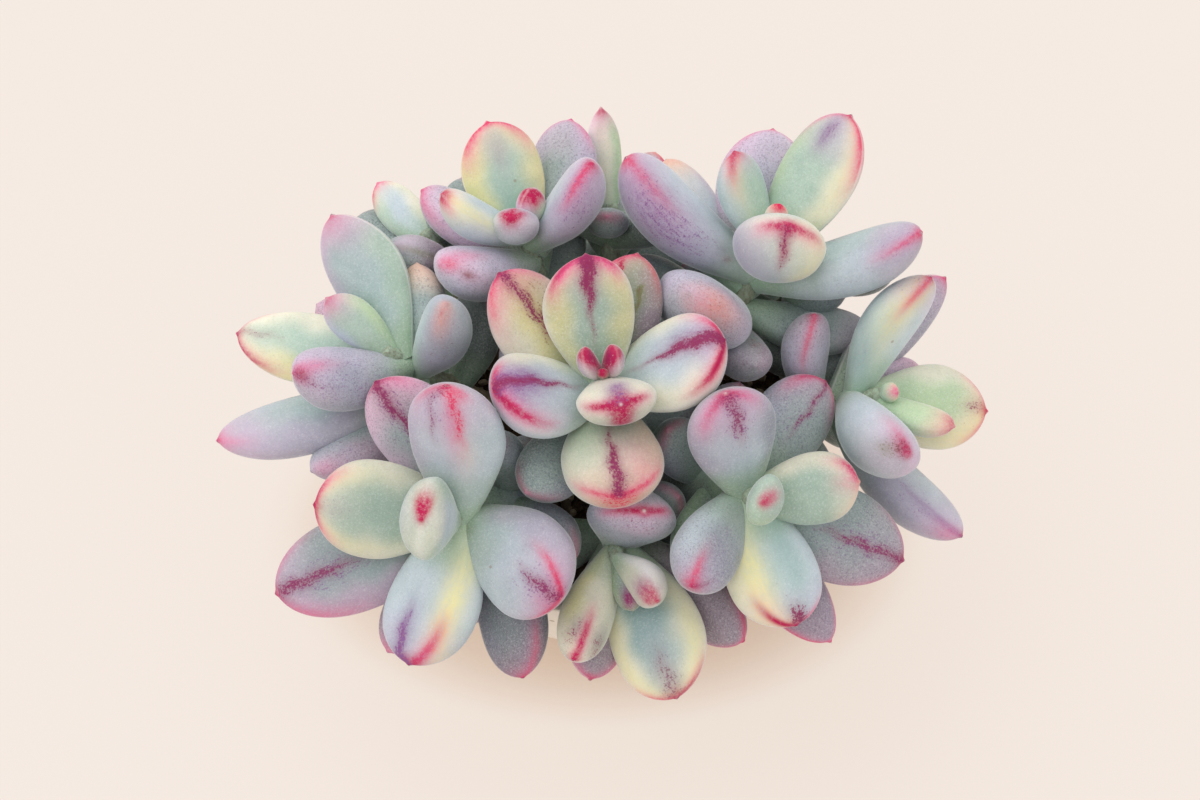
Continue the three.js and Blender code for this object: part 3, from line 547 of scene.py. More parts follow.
        arm("pink", -1, 0.4, 24, 3, 0.6), streak("plum", 0.8, 2.2, 0),
        streak("plum", 0.45, 5.6, 0.2, 0.8), *arms("crimson", 0.2, 0.24, 16, 1.4, 0.6),
        tip("crimson", 2, 0.7), tone=1.12, marked=0.68),
    bl8=look("grey slate slate mauve", patch("violet", 0.4, 0, 26, 12, 0.35, "speckle"),
        line("pink", 36, 0.55, 2, 0.4), line("red", 34, 0.5, 0.9, 0.4), tip("pink", 4, 0.5),
        tip("crimson", 1.8, 0.6), tone=0.66, marked=0.6),
    bl9=look("mauve mauve mauve mauve", tip("pink", 4, 0.5)),
    bl12=look("grey powder slate mauve", patch("brown", 0.3, 0.1, 14, 3.4, 0.8, "speckle"),
        tip("orange", 4.5, 0.35), tone=1.12),
    bc1=look("cream white cream cream", patch("violet", 0.3, 0.1, 7, 6, 0.6),
        patch("crimson", 0.2, 0, 6, 4.2, 0.8), line("crimson", 60, 0.5, 1, 0.6),
        line("crimson", 120, 0.3, 1, 0.6), tone=0.92, rim=0.3, marked=0.85),
    bc2=look("sage green green green", patch("violet", 0.25, 0, 6, 4.4, 0.5),
        patch("plum", 0.2, 0, 5, 3.2, 0.9), tone=0.67),
    bc3=look("teal cream cream cream", *arms("yellow", 0.9, 0.9, 34, 3, 0.8),
        patch("slate", 0.3, 0, 22, 9, 0.5), patch("dusk", 0.2, 0, 20, 7, 0.5, "speckle"),
        streak("plum", 0.4, 6, 0, 0.5), arm("pink", 1, 0.4, 10, 2, 0.6),
        arm("crimson", 1, 0.34, 6, 1.2, 0.8), arm("pink", -1, 0.4, 6, 2, 0.6),
        arm("red", -1, 0.26, 6, 1.2, 0.6), tip("crimson", 3, 0.7), tone=0.94, rim=0.3, marked=0.72),
    bc4=look("cream cream yellow cream", patch("dusk", 0.25, 0.55, 8, 5, 0.55),
        patch("dusk", 0.25, -0.55, 8, 5, 0.55), patch("plum", 0.2, 0.5, 8, 4, 0.6, "speckle"),
        patch("plum", 0.2, -0.5, 8, 4, 0.6, "speckle"), line("pink", 100, 0.6, 1.8, 0.5),
        line("crimson", 100, 0.5, 1, 0.9), tip("crimson", 2, 0.6), tone=0.86, rim=0.3, marked=0.87),
    bc5=look("slate slate grey lilac", line("pink", 20, 0.6, 2, 0.5),
        line("crimson", 20, 0.52, 0.9, 0.7), line("pink", 205, 0.5, 2, 0.5),
        line("crimson", 205, 0.42, 0.9, 0.7), patch("plum", 0.2, 0, 10, 14, 0.35, "speckle"),
        # the white tip is a painted highlight on the nib
        tip("crimson", 1.8, 0.6), tip("white", 0.5, 0.7), tone=1.07),
    bc6=look("mauve mauve mauve mauve", *arms("pink", 0.5, 0.5, 10, 2, 0.6), tip("crimson", 1.8, 0.7),
        tone=0.86, marked=0.8),
    bc7=look("mauve mauve mauve mauve", *arms("pink", 0.4, 0.4, 10, 1.8, 0.5),
        *arms("red", 0.34, 0.3, 10, 0.9, 0.5), tone=0.8, marked=0.72),
    br1=look("sage sage green sage", spot("pink", 0.14, -40, 6, 5, 0.6),
        spot("crimson", 0.12, -40, 4, 3.6, 0.8), tip("crimson", 1.6, 0.8), tone=0.93, marked=0.65),
    br2=look("ice lavender slate lilac", patch("lilac", 0.24, 0, 16, 15, 0.5),
        patch("violet", 0.28, 0, 16, 13, 0.5, "speckle"), *arms("pink", 0.55, 0.4, 34, 2.6, 0.75),
        *arms("crimson", 0.4, 0.24, 34, 1.2, 0.6), streak("plum", 0.55, 5.6, 0.4),
        # the white tip is a painted highlight on the nib
        tip("crimson", 2.6, 0.7), tip("white", 0.5, 0.8), tone=0.87, marked=0.68),
    br3=look("sage cream sage cream", arm("pink", 1, 0.5, 36, 2.2, 0.6),
        arm("crimson", 1, 0.4, 34, 1.5, 0.9), tip("crimson", 2.4, 0.8),
        arm("peach", -1, 0.5, 10, 3, 0.7), patch("pink", 0.14, 0.1, 8, 6, 0.4), tone=0.85, marked=0.82),
    br4=look("powder ice cream lavender", patch("yellow", 0.5, -0.5, 26, 8, 0.7),
        patch("teal", 0.6, 0.35, 20, 6, 0.4), arm("peach", -1, 0.55, 48, 3.6, 0.6),
        arm("crimson", -1, 0.46, 46, 1.2, 0.9), patch("plum", 0.1, 0.1, 7, 5, 0.85, "speckle"),
        arm("pink", 1, 0.36, 6, 2, 0.9), tip("crimson", 2.4, 0.8), tone=1.07, marked=1.2),
    br5=look("slate slate ice lavender", patch("sage", 0.75, 0.3, 18, 14, 0.6),
        patch("violet", 0.35, 0.1, 20, 14, 0.35, "speckle"), line("pink", 112, 0.5, 2.2, 0.45),
        line("red", 112, 0.4, 1, 0.8), tip("pink", 4, 0.5), tip("crimson", 2.4, 0.75),
        line("plum", 60, 0.24, 0.8, 0.6), patch("olive", 0.5, 0.75, 3, 3, 0.4), tone=0.89, marked=0.6),
    br6=look("grey grey mauve mauve", patch("teal", 0.7, 0.2, 20, 12, 0.5),
        patch("violet", 0.3, 0, 24, 13, 0.5, "speckle"), streak("plum", 0.66, 3.4, 0, 0.85),
        *arms("pink", 0.4, 0.5, 8, 1.8, 0.45), tip("crimson", 2.4, 0.7), marked=0.78),
    br7=look("grey slate grey mauve", patch("violet", 0.35, 0.1, 18, 10, 0.35, "speckle"),
        streak("plum", 0.66, 1.8, 0, 0.75), *arms("pink", 0.5, 0.4, 30, 2.4, 0.6),
        *arms("crimson", 0.34, 0.26, 26, 1.3, 0.8), tip("crimson", 2.6, 0.8), tone=1.07, marked=0.82),
    br8=look("mauve lavender mauve lilac", *arms("pink", 0.4, 0.5, 6, 1.8, 0.5),
        *arms("red", 0.3, 0.4, 6, 0.8, 0.5), tone=0.68),
    br13=look("dusk grey grey dusk", tone=1.03),
    r1=look("ice powder ice lilac", line("yellow", 52, 0.9, 4.4, 0.75),
        line("yellow", 25, 0.75, 3, 0.4), spot("teal", 0.75, 14, 16, 9, 0.5),
        spot("teal", 0.7, 18, 10, 6, 0.7, "speckle"), spot("violet", 0.08, 20, 12, 10, 0.3),
        spot("violet", 0.08, 20, 12, 9, 0.4, "speckle"), line("pink", 46, 0.5, 1.8, 0.6),
        line("red", 46, 0.42, 0.8, 0.7), tip("crimson", 2, 0.7), tone=1.11, marked=0.8),
    r2=look("lavender mauve lavender lilac", line("pink", 0, 0.4, 1.6, 0.5), tip("pink", 3.4, 0.5),
        tip("crimson", 1.8, 0.7), tone=0.92),
    r3=look("ice lilac ice lilac", spot("lilac", 0.2, 184, 18, 16, 0.4),
        line("pink", 150, 0.5, 2.4, 0.55), line("crimson", 156, 0.3, 1.3, 0.6),
        spot("plum", 0.1, 184, 7, 7, 0.7, "speckle"), spot("crimson", 0.08, 175, 5, 4, 0.8),
        spot("olive", 0.2, 215, 6, 5, 0.6, "speckle"), spot("olive", 0.2, 215, 4, 3.4, 0.4),
        marked=0.68),
    r4=look("green cream cream peach", line("yellow", 150, 0.9, 4, 0.6),
        *arms("pink", 0.44, 0.46, 12, 1.8, 0.6), tip("red", 3, 0.6), tip("crimson", 1.6, 0.7),
        patch("plum", 0.14, 0, 7, 3.4, 0.55, "speckle")),
    r5=look("green cream green peach", tip("pink", 5, 0.7), tip("crimson", 3, 0.9), tone=1.12,
        marked=0.55),
    r6=look("green green green peach", tip("pink", 1.8, 0.8), tone=1.12),
    r7=look("ice lavender slate lilac", spot("lavender", 0.3, 144, 30, 14, 0.5),
        line("violet", 128, 0.7, 0.9, 0.5), line("violet", 140, 0.5, 0.7, 0.35),
        spot("violet", 0.3, 144, 26, 12, 0.35, "speckle"), spot("pink", 0.1, 160, 10, 6, 0.5),
        tip("crimson", 1.8, 0.5), tone=1.05, marked=0.8),
    r8=look("mauve lilac mauve rose", tone=1.12),
    r9=look("lavender lavender slate mauve", spot("slate", 0.5, 23, 22, 14, 0.4),
        spot("plum", 0.2, 23, 12, 14, 0.4, "speckle"), line("pink", 23, 0.75, 1.8, 0.5),
        line("red", 23, 0.72, 0.8, 0.8), tip("crimson", 2.2, 0.7), tone=1.12, marked=0.55),
    b1=look("cream white green rose", tip("crimson", 2.2, 0.8), tone=1.12),
    b2=look("lavender lavender ice lavender", arm("red", -1, 0.4, 14, 2, 0.8), tip("orange", 3, 0.7)),
    lb1=look("ice sage cream cream", arm("red", 1, 0.4, 14, 1.8, 0.8), tip("pink", 3.6, 0.85),
        tone=1.12),
    lb2=look("grey mauve powder grey", line("olive", -20, 0.8, 0.9, 0.6),
        line("lilac", 20, 0.5, 3, 0.6)),
    lb3=look("mauve lavender mauve mauve"),
)

# Old leaves take one of these looks, grey and dark: partly withered leaves, partly painted shade deep among
# the shoots
OLD_LOOKS = [
    look("grey dusk grey slate", streak("brown", 0.45, 2.6, 0.6, 0.5), tip("pink", 3, 0.3), tone=0.92),
    look("dusk grey dusk grey", *arms("pink", 0.34, 0.34, 10, 1.5, 0.25), tone=0.9),
    look("grey dusk moss slate", tip("orange", 3.6, 0.3), tone=0.9),
    look("grey slate dusk grey", *arms("pink", 0.4, 0.34, 10, 1.8, 0.3), tone=0.9),
    look("grey grey moss slate", streak("brown", 0.4, 2.8, 0.6, 0.4), tone=0.9),
]

# How sharp the flat leaves' margins and tips are, from 0 to 1, and the same for all others
ROUND_LEAF = 0.15
FLAT_LEAVES = dict(
    c4=0.6, c8=0.6, c9=0.6, tl3=0.8, tl4=0.4, tl6=0.6, tr4=0.9, tr5=0.6, tr3=0.3, l1=0.9, l2=0.6,
    l3=0.8, l5=0.5, bl3=0.35, bl6=0.4, bl7=0.5, bc3=0.5, bc6=0.7, bc7=0.5, br6=0.8, br8=0.8,
    r1=0.4, r2=0.8, r4=0.9, r5=0.6, r7=0.4, b1=0.9, lb1=0.6, c1=0.6, c2=0.6, tl2=0.7,
)


# How far the marks wander and spread, in millimetres or as shares
MEANDER = 0.35
MEANDER_TURN = 0.9
FAN_REACH = 0.12
FACE_EDGE = (-1.6, 1.2)
HALO_WIDTH = 1.6
HALO_STRENGTH = 0.35

# How strongly the tip colour, the darker green at the root and the grey from below show, how much their
# edges waver, and how freckled a greyer or a clearer leaf is. The green at the root is partly the leaf's
# own and partly painted shade where the leaves crowd together.
TIP_TINT = 0.75
ROOT_TINT = 0.9
UNDERSIDE_TINT = 0.3
WAVER = 0.16
RIM_HEIGHT = 1.5
TONE_CHANGE = 0.03
FRECKLED = 0.75
CLEAR = 0.12


def unit(vectors):
    return vectors / np.linalg.norm(vectors, axis=-1, keepdims=True)


def smooth(low, high, values):
    share = np.clip((values - low) / (high - low), 0, 1)
    return share * share * (3 - 2 * share)


def paint(name):
    """A named colour in the linear values that light needs."""
    share = np.array(COLOURS[name]) / 255
    return np.where(share <= 0.04045, share / 12.92, ((share + 0.055) / 1.055) ** 2.4)


def blend(colour, other, share):
    return colour * (1 - share) + other * share


# Points in the view

def on_sight_line(across, up, out):
    scale = (VIEW_DISTANCE - out) / VIEW_DISTANCE
    return VIEW_AIM + ACROSS * across * scale + UP * up * scale + OUT * out


def out_of(point):
    return (point - VIEW_AIM) @ OUT


def at_height(across, up, height):
    rise = OUT[2] - UP[2] * up / VIEW_DISTANCE
    return on_sight_line(across, up, (height - VIEW_AIM[2] - UP[2] * up) / rise)


# Stems

def direction(heading, lean):
    turn, tilt = math.radians(heading), math.radians(lean)
    return np.array([math.sin(tilt) * math.cos(turn), math.sin(tilt) * math.sin(turn), math.cos(tilt)])


class Stem:
    """A shoot's stem: a curve from inside the soil, upright at its foot, to its leaning top."""

    def __init__(self, shoot):
        self.heading, lean = shoot["axis"]
        self.radius = shoot.get("radius", STEM_RADIUS)
        self.axis = direction(self.heading, lean)
        top = at_height(*shoot["apex"])
        base = np.array([*shoot["foot"], SOIL_TOP - STEM_DEPTH])
        pull = np.linalg.norm(top - base) * STEM_PULL
        self.points = np.array([base, base + RISE * pull, top - self.axis * pull, top])
        sampled = self.point(np.linspace(0, 1, 20))
        self.length = np.linalg.norm(np.diff(sampled, axis=0), axis=1).sum()

    def point(self, share):
        t = np.atleast_1d(share)[:, None]
        base, above, before, top = self.points
        lower = (1 - t) ** 3 * base + 3 * (1 - t) ** 2 * t * above
        return lower + 3 * (1 - t) * t ** 2 * before + t ** 3 * top

    def tangent(self, share):
        t = np.atleast_1d(share)[:, None]
        steps = np.diff(self.points, axis=0)
        return unit((1 - t) ** 2 * steps[0] + 2 * (1 - t) * t * steps[1] + t ** 2 * steps[2])

    def at(self, drop):
        """The point on the stem that is that far below its top."""
        return self.point(1 - min(drop / self.length, 1))[0]


# Leaves

def placed_leaf(stem, row):
    """A leaf whose tip is seen where its row says. Its length gives how far out the tip is."""
    name, across, up, length, width, thickness, drop = row
    root = stem.at(drop)
    root_out = out_of(root)
    end = on_sight_line(across, up, root_out)
    for _ in range(4):
        offset = end - root
        flat = math.hypot(offset @ ACROSS, offset @ UP)
        depth = math.sqrt(max(0, length * length - flat * flat))
        end = on_sight_line(across, up, root_out + math.copysign(depth, length))
    hold = BUD_HOLD if name in BUD_LEAVES else LEAF_HOLD
    return dict(name=name, root=root, tip=end, width=width, thickness=thickness, axis=stem.axis,
                hold=hold)


def old_leaf(stem, row, index):
    drop, turn, splay, length, width, thickness = row
    root = stem.at(drop)
    axis = unit(root - stem.at(drop + 0.5))
    outward = direction(stem.heading, 90)
    first = unit(outward - axis * (outward @ axis))
    second = np.cross(axis, first)
    turn, splay = math.radians(turn), math.radians(splay)
    aside = math.cos(turn) * first + math.sin(turn) * second
    end = root + length * (math.cos(splay) * axis + math.sin(splay) * aside)
    return dict(name=f"old{index}", root=root, tip=end, width=width, thickness=thickness, axis=axis,
                hold=FREE_HOLD)


def leaf_frames(root, end, axis):
    """Each leaf's direction, the way its upper face looks, and its left."""
    along = unit(end - root)
    normal = axis - along * (axis * along).sum(-1, keepdims=True)
    flat = OUT - along * (along @ OUT)[..., None]
    weak = np.linalg.norm(normal, axis=-1, keepdims=True) < 0.2
    normal = unit(np.where(weak, flat, normal))
    return along, normal, np.cross(normal, along)


def fullness(t, root, rounding, tip_power=TIP_POWER):
    """How wide a leaf is at each share t of its length: it swells from its root share to 1
    and closes round its tip."""
    swell = root + (1 - root) * np.sin(np.clip(t / SWELL_AT, 0, 1) * math.pi / 2) ** SWELL_POWER
    x = np.clip((t - SWELL_AT) / (1 - SWELL_AT), 0, 1)
    return np.where(t < SWELL_AT, swell, np.maximum(0, 1 - x ** tip_power) ** rounding)


# Settling

def deepest(depth):
    """For each row, the index of the deepest overlap in its last two axes, and its depth."""
    flat = depth.reshape(len(depth), -1)
    best = flat.argmax(1)
    return np.unravel_index(best, depth.shape[1:]), flat[np.arange(len(flat)), best]


class Crowd:
    """All leaves as arrays. They push each other apart and are pushed off stems and pot."""

    def __init__(self, leaves, stems):
        keys = ("root", "tip", "axis", "width", "thickness", "shoot", "hold")
        columns = [np.array([leaf[key] for leaf in leaves]) for key in keys]
        self.root, self.end, self.axis, self.width, thickness, self.shoot, hold = columns
        self.slide, self.spring = hold.T[:, :, None]
        self.length = np.linalg.norm(self.end - self.root, axis=1)
        self.start = self.end.copy()
        self.rows = np.arange(len(leaves))
        self.pairs = np.triu_indices(len(leaves), 1)
        t = FEELERS_ALONG
        half_width = self.width[:, None] / 2 * fullness(t, ROOT_WIDTH, WIDTH_ROUNDING)
        half_thickness = thickness[:, None] / 2 * fullness(t, ROOT_THICKNESS, THICKNESS_ROUNDING)
        share = np.where(FEELERS_ACROSS == 0, 1, SIDE_FEELER)
        self.radius = np.minimum(half_width, half_thickness) * share
        self.aside = FEELERS_ACROSS * np.maximum(half_width - self.radius, 0)
        self.stems = [(stem, self.stem_feelers(stem)) for stem in stems]

    def stem_feelers(self, stem):
        return np.array([stem.at(drop) for drop in np.arange(0, stem.length, STEM_FEELER_STEP)])

    def place_feelers(self):
        along, _, side = leaf_frames(self.root, self.end, self.axis)
        reach = along[:, None] * (self.length[:, None] * FEELERS_ALONG)[..., None]
        self.centre = self.root[:, None] + reach + side[:, None] * self.aside[..., None]
        self.push = np.zeros_like(self.root)

    def push_neighbours(self):
        first, second = self.pairs
        middle = self.centre.mean(1)
        close = np.linalg.norm(middle[first] - middle[second], axis=1) <= NEIGHBOUR_REACH
        i, j = first[close], second[close]
        together = self.shoot[i] == self.shoot[j]
        distance = np.linalg.norm(self.centre[i][:, :, None] - self.centre[j][:, None], axis=-1)
        depth = self.radius[i][:, :, None] + self.radius[j][:, None] - distance
        depth -= np.where(together, SAME_SHOOT_ALLOWANCE, 0)[:, None, None]
        depth[together[:, None, None] & NEAR_ROOT[:, None] & NEAR_ROOT] = APART
        (a, b), deep = deepest(depth)
        hit = deep > 0
        i, j, a, b, deep = i[hit], j[hit], a[hit], b[hit], deep[hit]
        away = unit(self.centre[i, a] - self.centre[j, b]) * deep[:, None]
        mine, theirs = self.width[i] ** 2, self.width[j] ** 2
        np.add.at(self.push, i, away * (theirs / (mine + theirs) * FEELERS_ALONG[a])[:, None])
        np.add.at(self.push, j, -away * (mine / (mine + theirs) * FEELERS_ALONG[b])[:, None])

    def push_from(self, point, a, depth):
        """Pushes each leaf from its own point by how deep its feeler a is."""
        away = unit(self.centre[self.rows, a] - point)
        self.push += away * (np.maximum(depth, 0) * FEELERS_ALONG[a])[:, None]

    def push_off_stems(self):
        for stem, feelers in self.stems:
            distance = np.linalg.norm(self.centre[:, :, None] - feelers, axis=-1)
            depth = self.radius[:, :, None] + stem.radius - distance
            depth[(self.shoot == stem.shoot)[:, None] & NEAR_OWN_STEM] = APART
            (a, b), deep = deepest(depth)
            self.push_from(feelers[b], a, deep)

    def push_off_pot(self):
        rim_radius = POT_RIM_RADIUS - POT_WALL / 2
        rim = unit(self.centre * [1, 1, 0]) * rim_radius + RISE * (POT_HEIGHT - 1)
        depth = self.radius + RIM_FEELER - np.linalg.norm(self.centre - rim, axis=-1)
        a = depth.argmax(1)
        self.push_from(rim[self.rows, a], a, depth[self.rows, a])

    def lift_off_soil(self):
        depth = SOIL_TOP + self.radius - self.centre[..., 2]
        depth[np.hypot(self.centre[..., 0], self.centre[..., 1]) > POT_RIM_RADIUS] = 0
        a = depth.argmax(1)
        self.push[:, 2] += np.maximum(depth[self.rows, a], 0) * FEELERS_ALONG[a]

    def give_way(self):
        """Moves the tips, freely towards or away from the viewer and a little sideways."""
        move = self.push * PUSH_SHARE
        out_part = OUT * (move @ OUT)[:, None]
        back = self.start - self.end
        back = back - OUT * (back @ OUT)[:, None]
        move = (move - out_part) * self.slide + out_part + back * self.spring
        size = np.linalg.norm(move, axis=1, keepdims=True)
        move *= np.minimum(1, LONGEST_PUSH / np.maximum(size, 1e-9))
        self.end = self.root + unit(self.end + move - self.root) * self.length[:, None]


def settle(leaves, stems):
    crowd = Crowd(leaves, stems)
    for _ in range(ROUNDS):
        crowd.place_feelers()
        crowd.push_neighbours()
        crowd.push_off_stems()
        crowd.push_off_pot()
        crowd.lift_off_soil()
        crowd.give_way()
    along, normal, side = leaf_frames(crowd.root, crowd.end, crowd.axis)
    for k, leaf in enumerate(leaves):
        leaf.update(length=crowd.length[k], along=along[k], normal=normal[k], side=side[k])


def grow_plant():
    stems = [Stem(shoot) for shoot in SHOOTS]
    leaves = []
    for stem, shoot in zip(stems, SHOOTS):
        stem.shoot = shoot["name"]
        own = [placed_leaf(stem, row) for row in shoot["leaves"]]
        own += [old_leaf(stem, row, k) for k, row in enumerate(shoot["old"])]
        for leaf in own:
            leaf["shoot"] = stem.shoot
        leaves += own
    settle(leaves, stems)
    return stems, leaves


# Meshes

def ring_faces(rings, sides, first_ring=0):
    """Quads of a tube of rings, each with that many points, in order from first_ring."""
    ring, step = np.meshgrid(np.arange(rings - 1), np.arange(sides), indexing="ij")
    here = first_ring + ring * sides
    after = (step + 1) % sides
    corners = [here + step, here + after, here + sides + after, here + sides + step]
    return np.stack(corners, -1).reshape(-1, 4)


def cap_faces(pole, ring, sides, flip):
    step = np.arange(sides)
    here, after = ring + step, ring + (step + 1) % sides
    fan = np.stack([np.full(sides, pole), after, here], -1)
    return fan[:, ::-1] if flip else fan


def closed_tube(rings, sides):
    """Faces of a tube whose points are its first pole, its rings and its last pole."""
    last = 1 + rings * sides
    tris = np.vstack([cap_faces(0, 1, sides, False), cap_faces(last, last - sides, sides, True)])
    return ring_faces(rings, sides, 1), tris


# The kind and field of a value, by how many numbers it has
ATTRIBUTE_KINDS = {1: ("FLOAT", "value"), 3: ("FLOAT_VECTOR", "vector"), 4: ("FLOAT_COLOR", "color")}


class MeshParts:
    """Points, faces and named values of several shapes, which become one mesh."""

    def __init__(self):
        self.points, self.quads, self.tris, self.materials = [], [], [], []
        self.values = {}
        self.count = 0

    def add(self, points, quads, tris, material=0, **values):
        self.points.append(points)
        self.quads.append(quads + self.count)
        self.tris.append(tris + self.count)
        self.materials.append((len(quads), len(tris), material))
        for name, value in values.items():
            self.values.setdefault(name, []).append(value)
        self.count += len(points)

    def build(self, name, materials):
        mesh = bpy.data.meshes.new(name)
        self.write_shape(mesh)
        self.write_values(mesh)
        mesh.update(calc_edges=True)
        mesh.validate()
        for material in materials:
            mesh.materials.append(material)
        shape = bpy.data.objects.new(name, mesh)
        bpy.context.scene.collection.objects.link(shape)
        return shape

    def write_shape(self, mesh):
        points = np.vstack(self.points) * MM
        quads, tris = np.vstack(self.quads), np.vstack(self.tris)
        loops = np.concatenate([quads.ravel(), tris.ravel()])
        sizes = np.repeat([4, 3], [len(quads), len(tris)])
        starts = np.concatenate([[0], np.cumsum(sizes)[:-1]])
        quad_materials = [np.full(q, m) for q, _, m in self.materials]
        tri_materials = [np.full(t, m) for _, t, m in self.materials]
        mesh.vertices.add(len(points))
        mesh.vertices.foreach_set("co", points.astype(np.float32).ravel())
        mesh.loops.add(len(loops))
        mesh.loops.foreach_set("vertex_index", loops.astype(np.int32))
        mesh.polygons.add(len(sizes))
        mesh.polygons.foreach_set("loop_start", starts.astype(np.int32))
        mesh.polygons.foreach_set("use_smooth", np.ones(len(sizes), bool))
        indices = np.concatenate(quad_materials + tri_materials)
        mesh.polygons.foreach_set("material_index", indices.astype(np.int32))

    def write_values(self, mesh):
        for key, rows in self.values.items():
            data = np.vstack(rows).astype(np.float32)
            kind, field = ATTRIBUTE_KINDS[data.shape[1]]
            attribute = mesh.attributes.new(key, kind, "POINT")
            attribute.data.foreach_set(field, data.ravel())


# Marks and colours on the fine leaves

def on_face(mark, place):
    return smooth(*FACE_EDGE, place["z"] * (-1 if mark["under"] else 1))


def oval(mark, place, away):
    along = (place["back"] - mark["back"] * place["length"]) / (mark["length"] / 2)
    return np.exp(-along ** 2 - (away / (mark["width"] / 2)) ** 2)


def from_angle(mark, place):
    """How far each point is from where the surface lies at the mark's angle round the leaf."""
    angle = math.radians(mark["angle"])
    face = UPPER_FACE if math.sin(angle) > 0 else LOWER_FACE
    across = place["x"] - math.cos(angle) * place["half_width"]
    return np.hypot(across, place["z"] - math.sin(angle) * place["half_thickness"] * face)


def streak_cover(mark, place):
    back, length = place["back"], place["length"]
    share = np.clip(back / (mark["reach"] * length), 0, 1)
    away_from_tip = smooth(0, 0.3, share)
    meander = MEANDER * np.sin(back * MEANDER_TURN + place["phase"]) * away_from_tip
    middle = mark["offset"] * away_from_tip + mark["lean"] * back + meander
    body = (1 - share) ** 0.7 * (0.8 + 0.3 * share)
    half = mark["width"] / 2 * (body + mark["fan"] * np.exp(-share / FAN_REACH)) + 0.15
    cover = np.exp(-(((place["x"] - middle) / half) ** 2)) * smooth(1, 0.45, share)
    start = mark["start"] * length
    return cover * smooth(start - 1.5, start + 0.5, back) * on_face(mark, place)


def line_cover(mark, place):
    reach = mark["reach"] * place["length"]
    body = np.exp(-((from_angle(mark, place) / mark["width"]) ** 2))
    return body * smooth(reach, 0.3 * reach, place["back"])


def spot_cover(mark, place):
    return oval(mark, place, from_angle(mark, place))


def tip_cover(mark, place):
    return np.exp(-(place["back"] / mark["size"]) ** 2.2)


def patch_cover(mark, place):
    away = place["x"] - mark["across"] * place["half_width"].max()
    return oval(mark, place, away) * on_face(mark, place)


COVERS = dict(streak=streak_cover, line=line_cover, spot=spot_cover, tip=tip_cover, patch=patch_cover)


def lay_marks(marks, layer, place):
    """The colour and cover of one layer's marks at each point, each laid over the last. A
    streak also has a soft halo among the stains."""
    colour = np.zeros((len(place["x"]), 3))
    total = np.zeros((len(place["x"]), 1))
    for mark in marks:
        halo = layer == "stain" and mark["kind"] == "streak"
        if halo:
            mark = dict(mark, width=mark["width"] * HALO_WIDTH, strength=mark["strength"] * HALO_STRENGTH)
        if halo or mark["layer"] == layer:
            cover = np.clip(mark["strength"] * COVERS[mark["kind"]](mark, place), 0, 1)[:, None]
            colour = blend(colour, paint(mark["colour"]), cover)
            total = total * (1 - cover) + cover
    return np.column_stack([(colour + 1e-6) / (total + 1e-6), total])


def coat_colour(look, place, x_share, z_share):
    """The leaf's colour at each point, before its marks, with painted shade towards the root and pale
    margins that are partly a painted highlight.
    """
    middle, left, right, end = (paint(name) for name in look["colours"])
    t, wobble = place["t"], place["wobble"]
    x = x_share + WAVER * wobble
    sides = np.where(x[:, None] > 0, left, right)
    colour = blend(middle, sides, smooth(0.2, 0.85, np.abs(x))[:, None])
    colour = blend(colour, end, smooth(0.62, 1.0, t + 0.06 * wobble)[:, None] * TIP_TINT)
    # Greener and darker towards the root: partly the leaf's own green base, partly painted shade where the
    # leaves crowd together.
    near_root = ROOT_TINT * (1 - smooth(0.02, 0.5, t + 0.08 * wobble)[:, None])
    colour = blend(colour, paint("moss"), near_root)
    colour = blend(colour, paint("grey"), smooth(0.0, -0.9, z_share)[:, None] * UNDERSIDE_TINT)
    # Pale margins: partly powder, partly a painted highlight along the outline.
    paler = look["rim"] * np.exp(-(place["z"] / RIM_HEIGHT) ** 2) * smooth(0.3, 0.9, np.abs(x_share))
    return blend(colour, paint("white"), paler[:, None])


# Fine leaves and stems

def leaf_grid(leaf, gap):
    """Shares of the length and angles round the leaf for the points of a closed grid, denser
    towards root and tip."""
    around = math.pi * (leaf["width"] + leaf["thickness"]) / 2
    sides = int(np.clip(round(around / gap / 2) * 2, 16, 76))
    steps = int(np.clip(round(leaf["length"] * 1.25 / gap), 14, 60))
    t = np.concatenate([(1 - np.cos(np.pi * np.arange(1, steps) / steps)) / 2, [1 - 0.0007, 1 - 0.00015]])
    t_grid, angle_grid = np.meshgrid(t, 2 * np.pi * np.arange(sides) / sides, indexing="ij")
    t_all = np.concatenate([[0], t_grid.ravel(), [1]])
    angle_all = np.concatenate([[0], angle_grid.ravel(), [0]])
    return t_all, angle_all, closed_tube(len(t), sides)


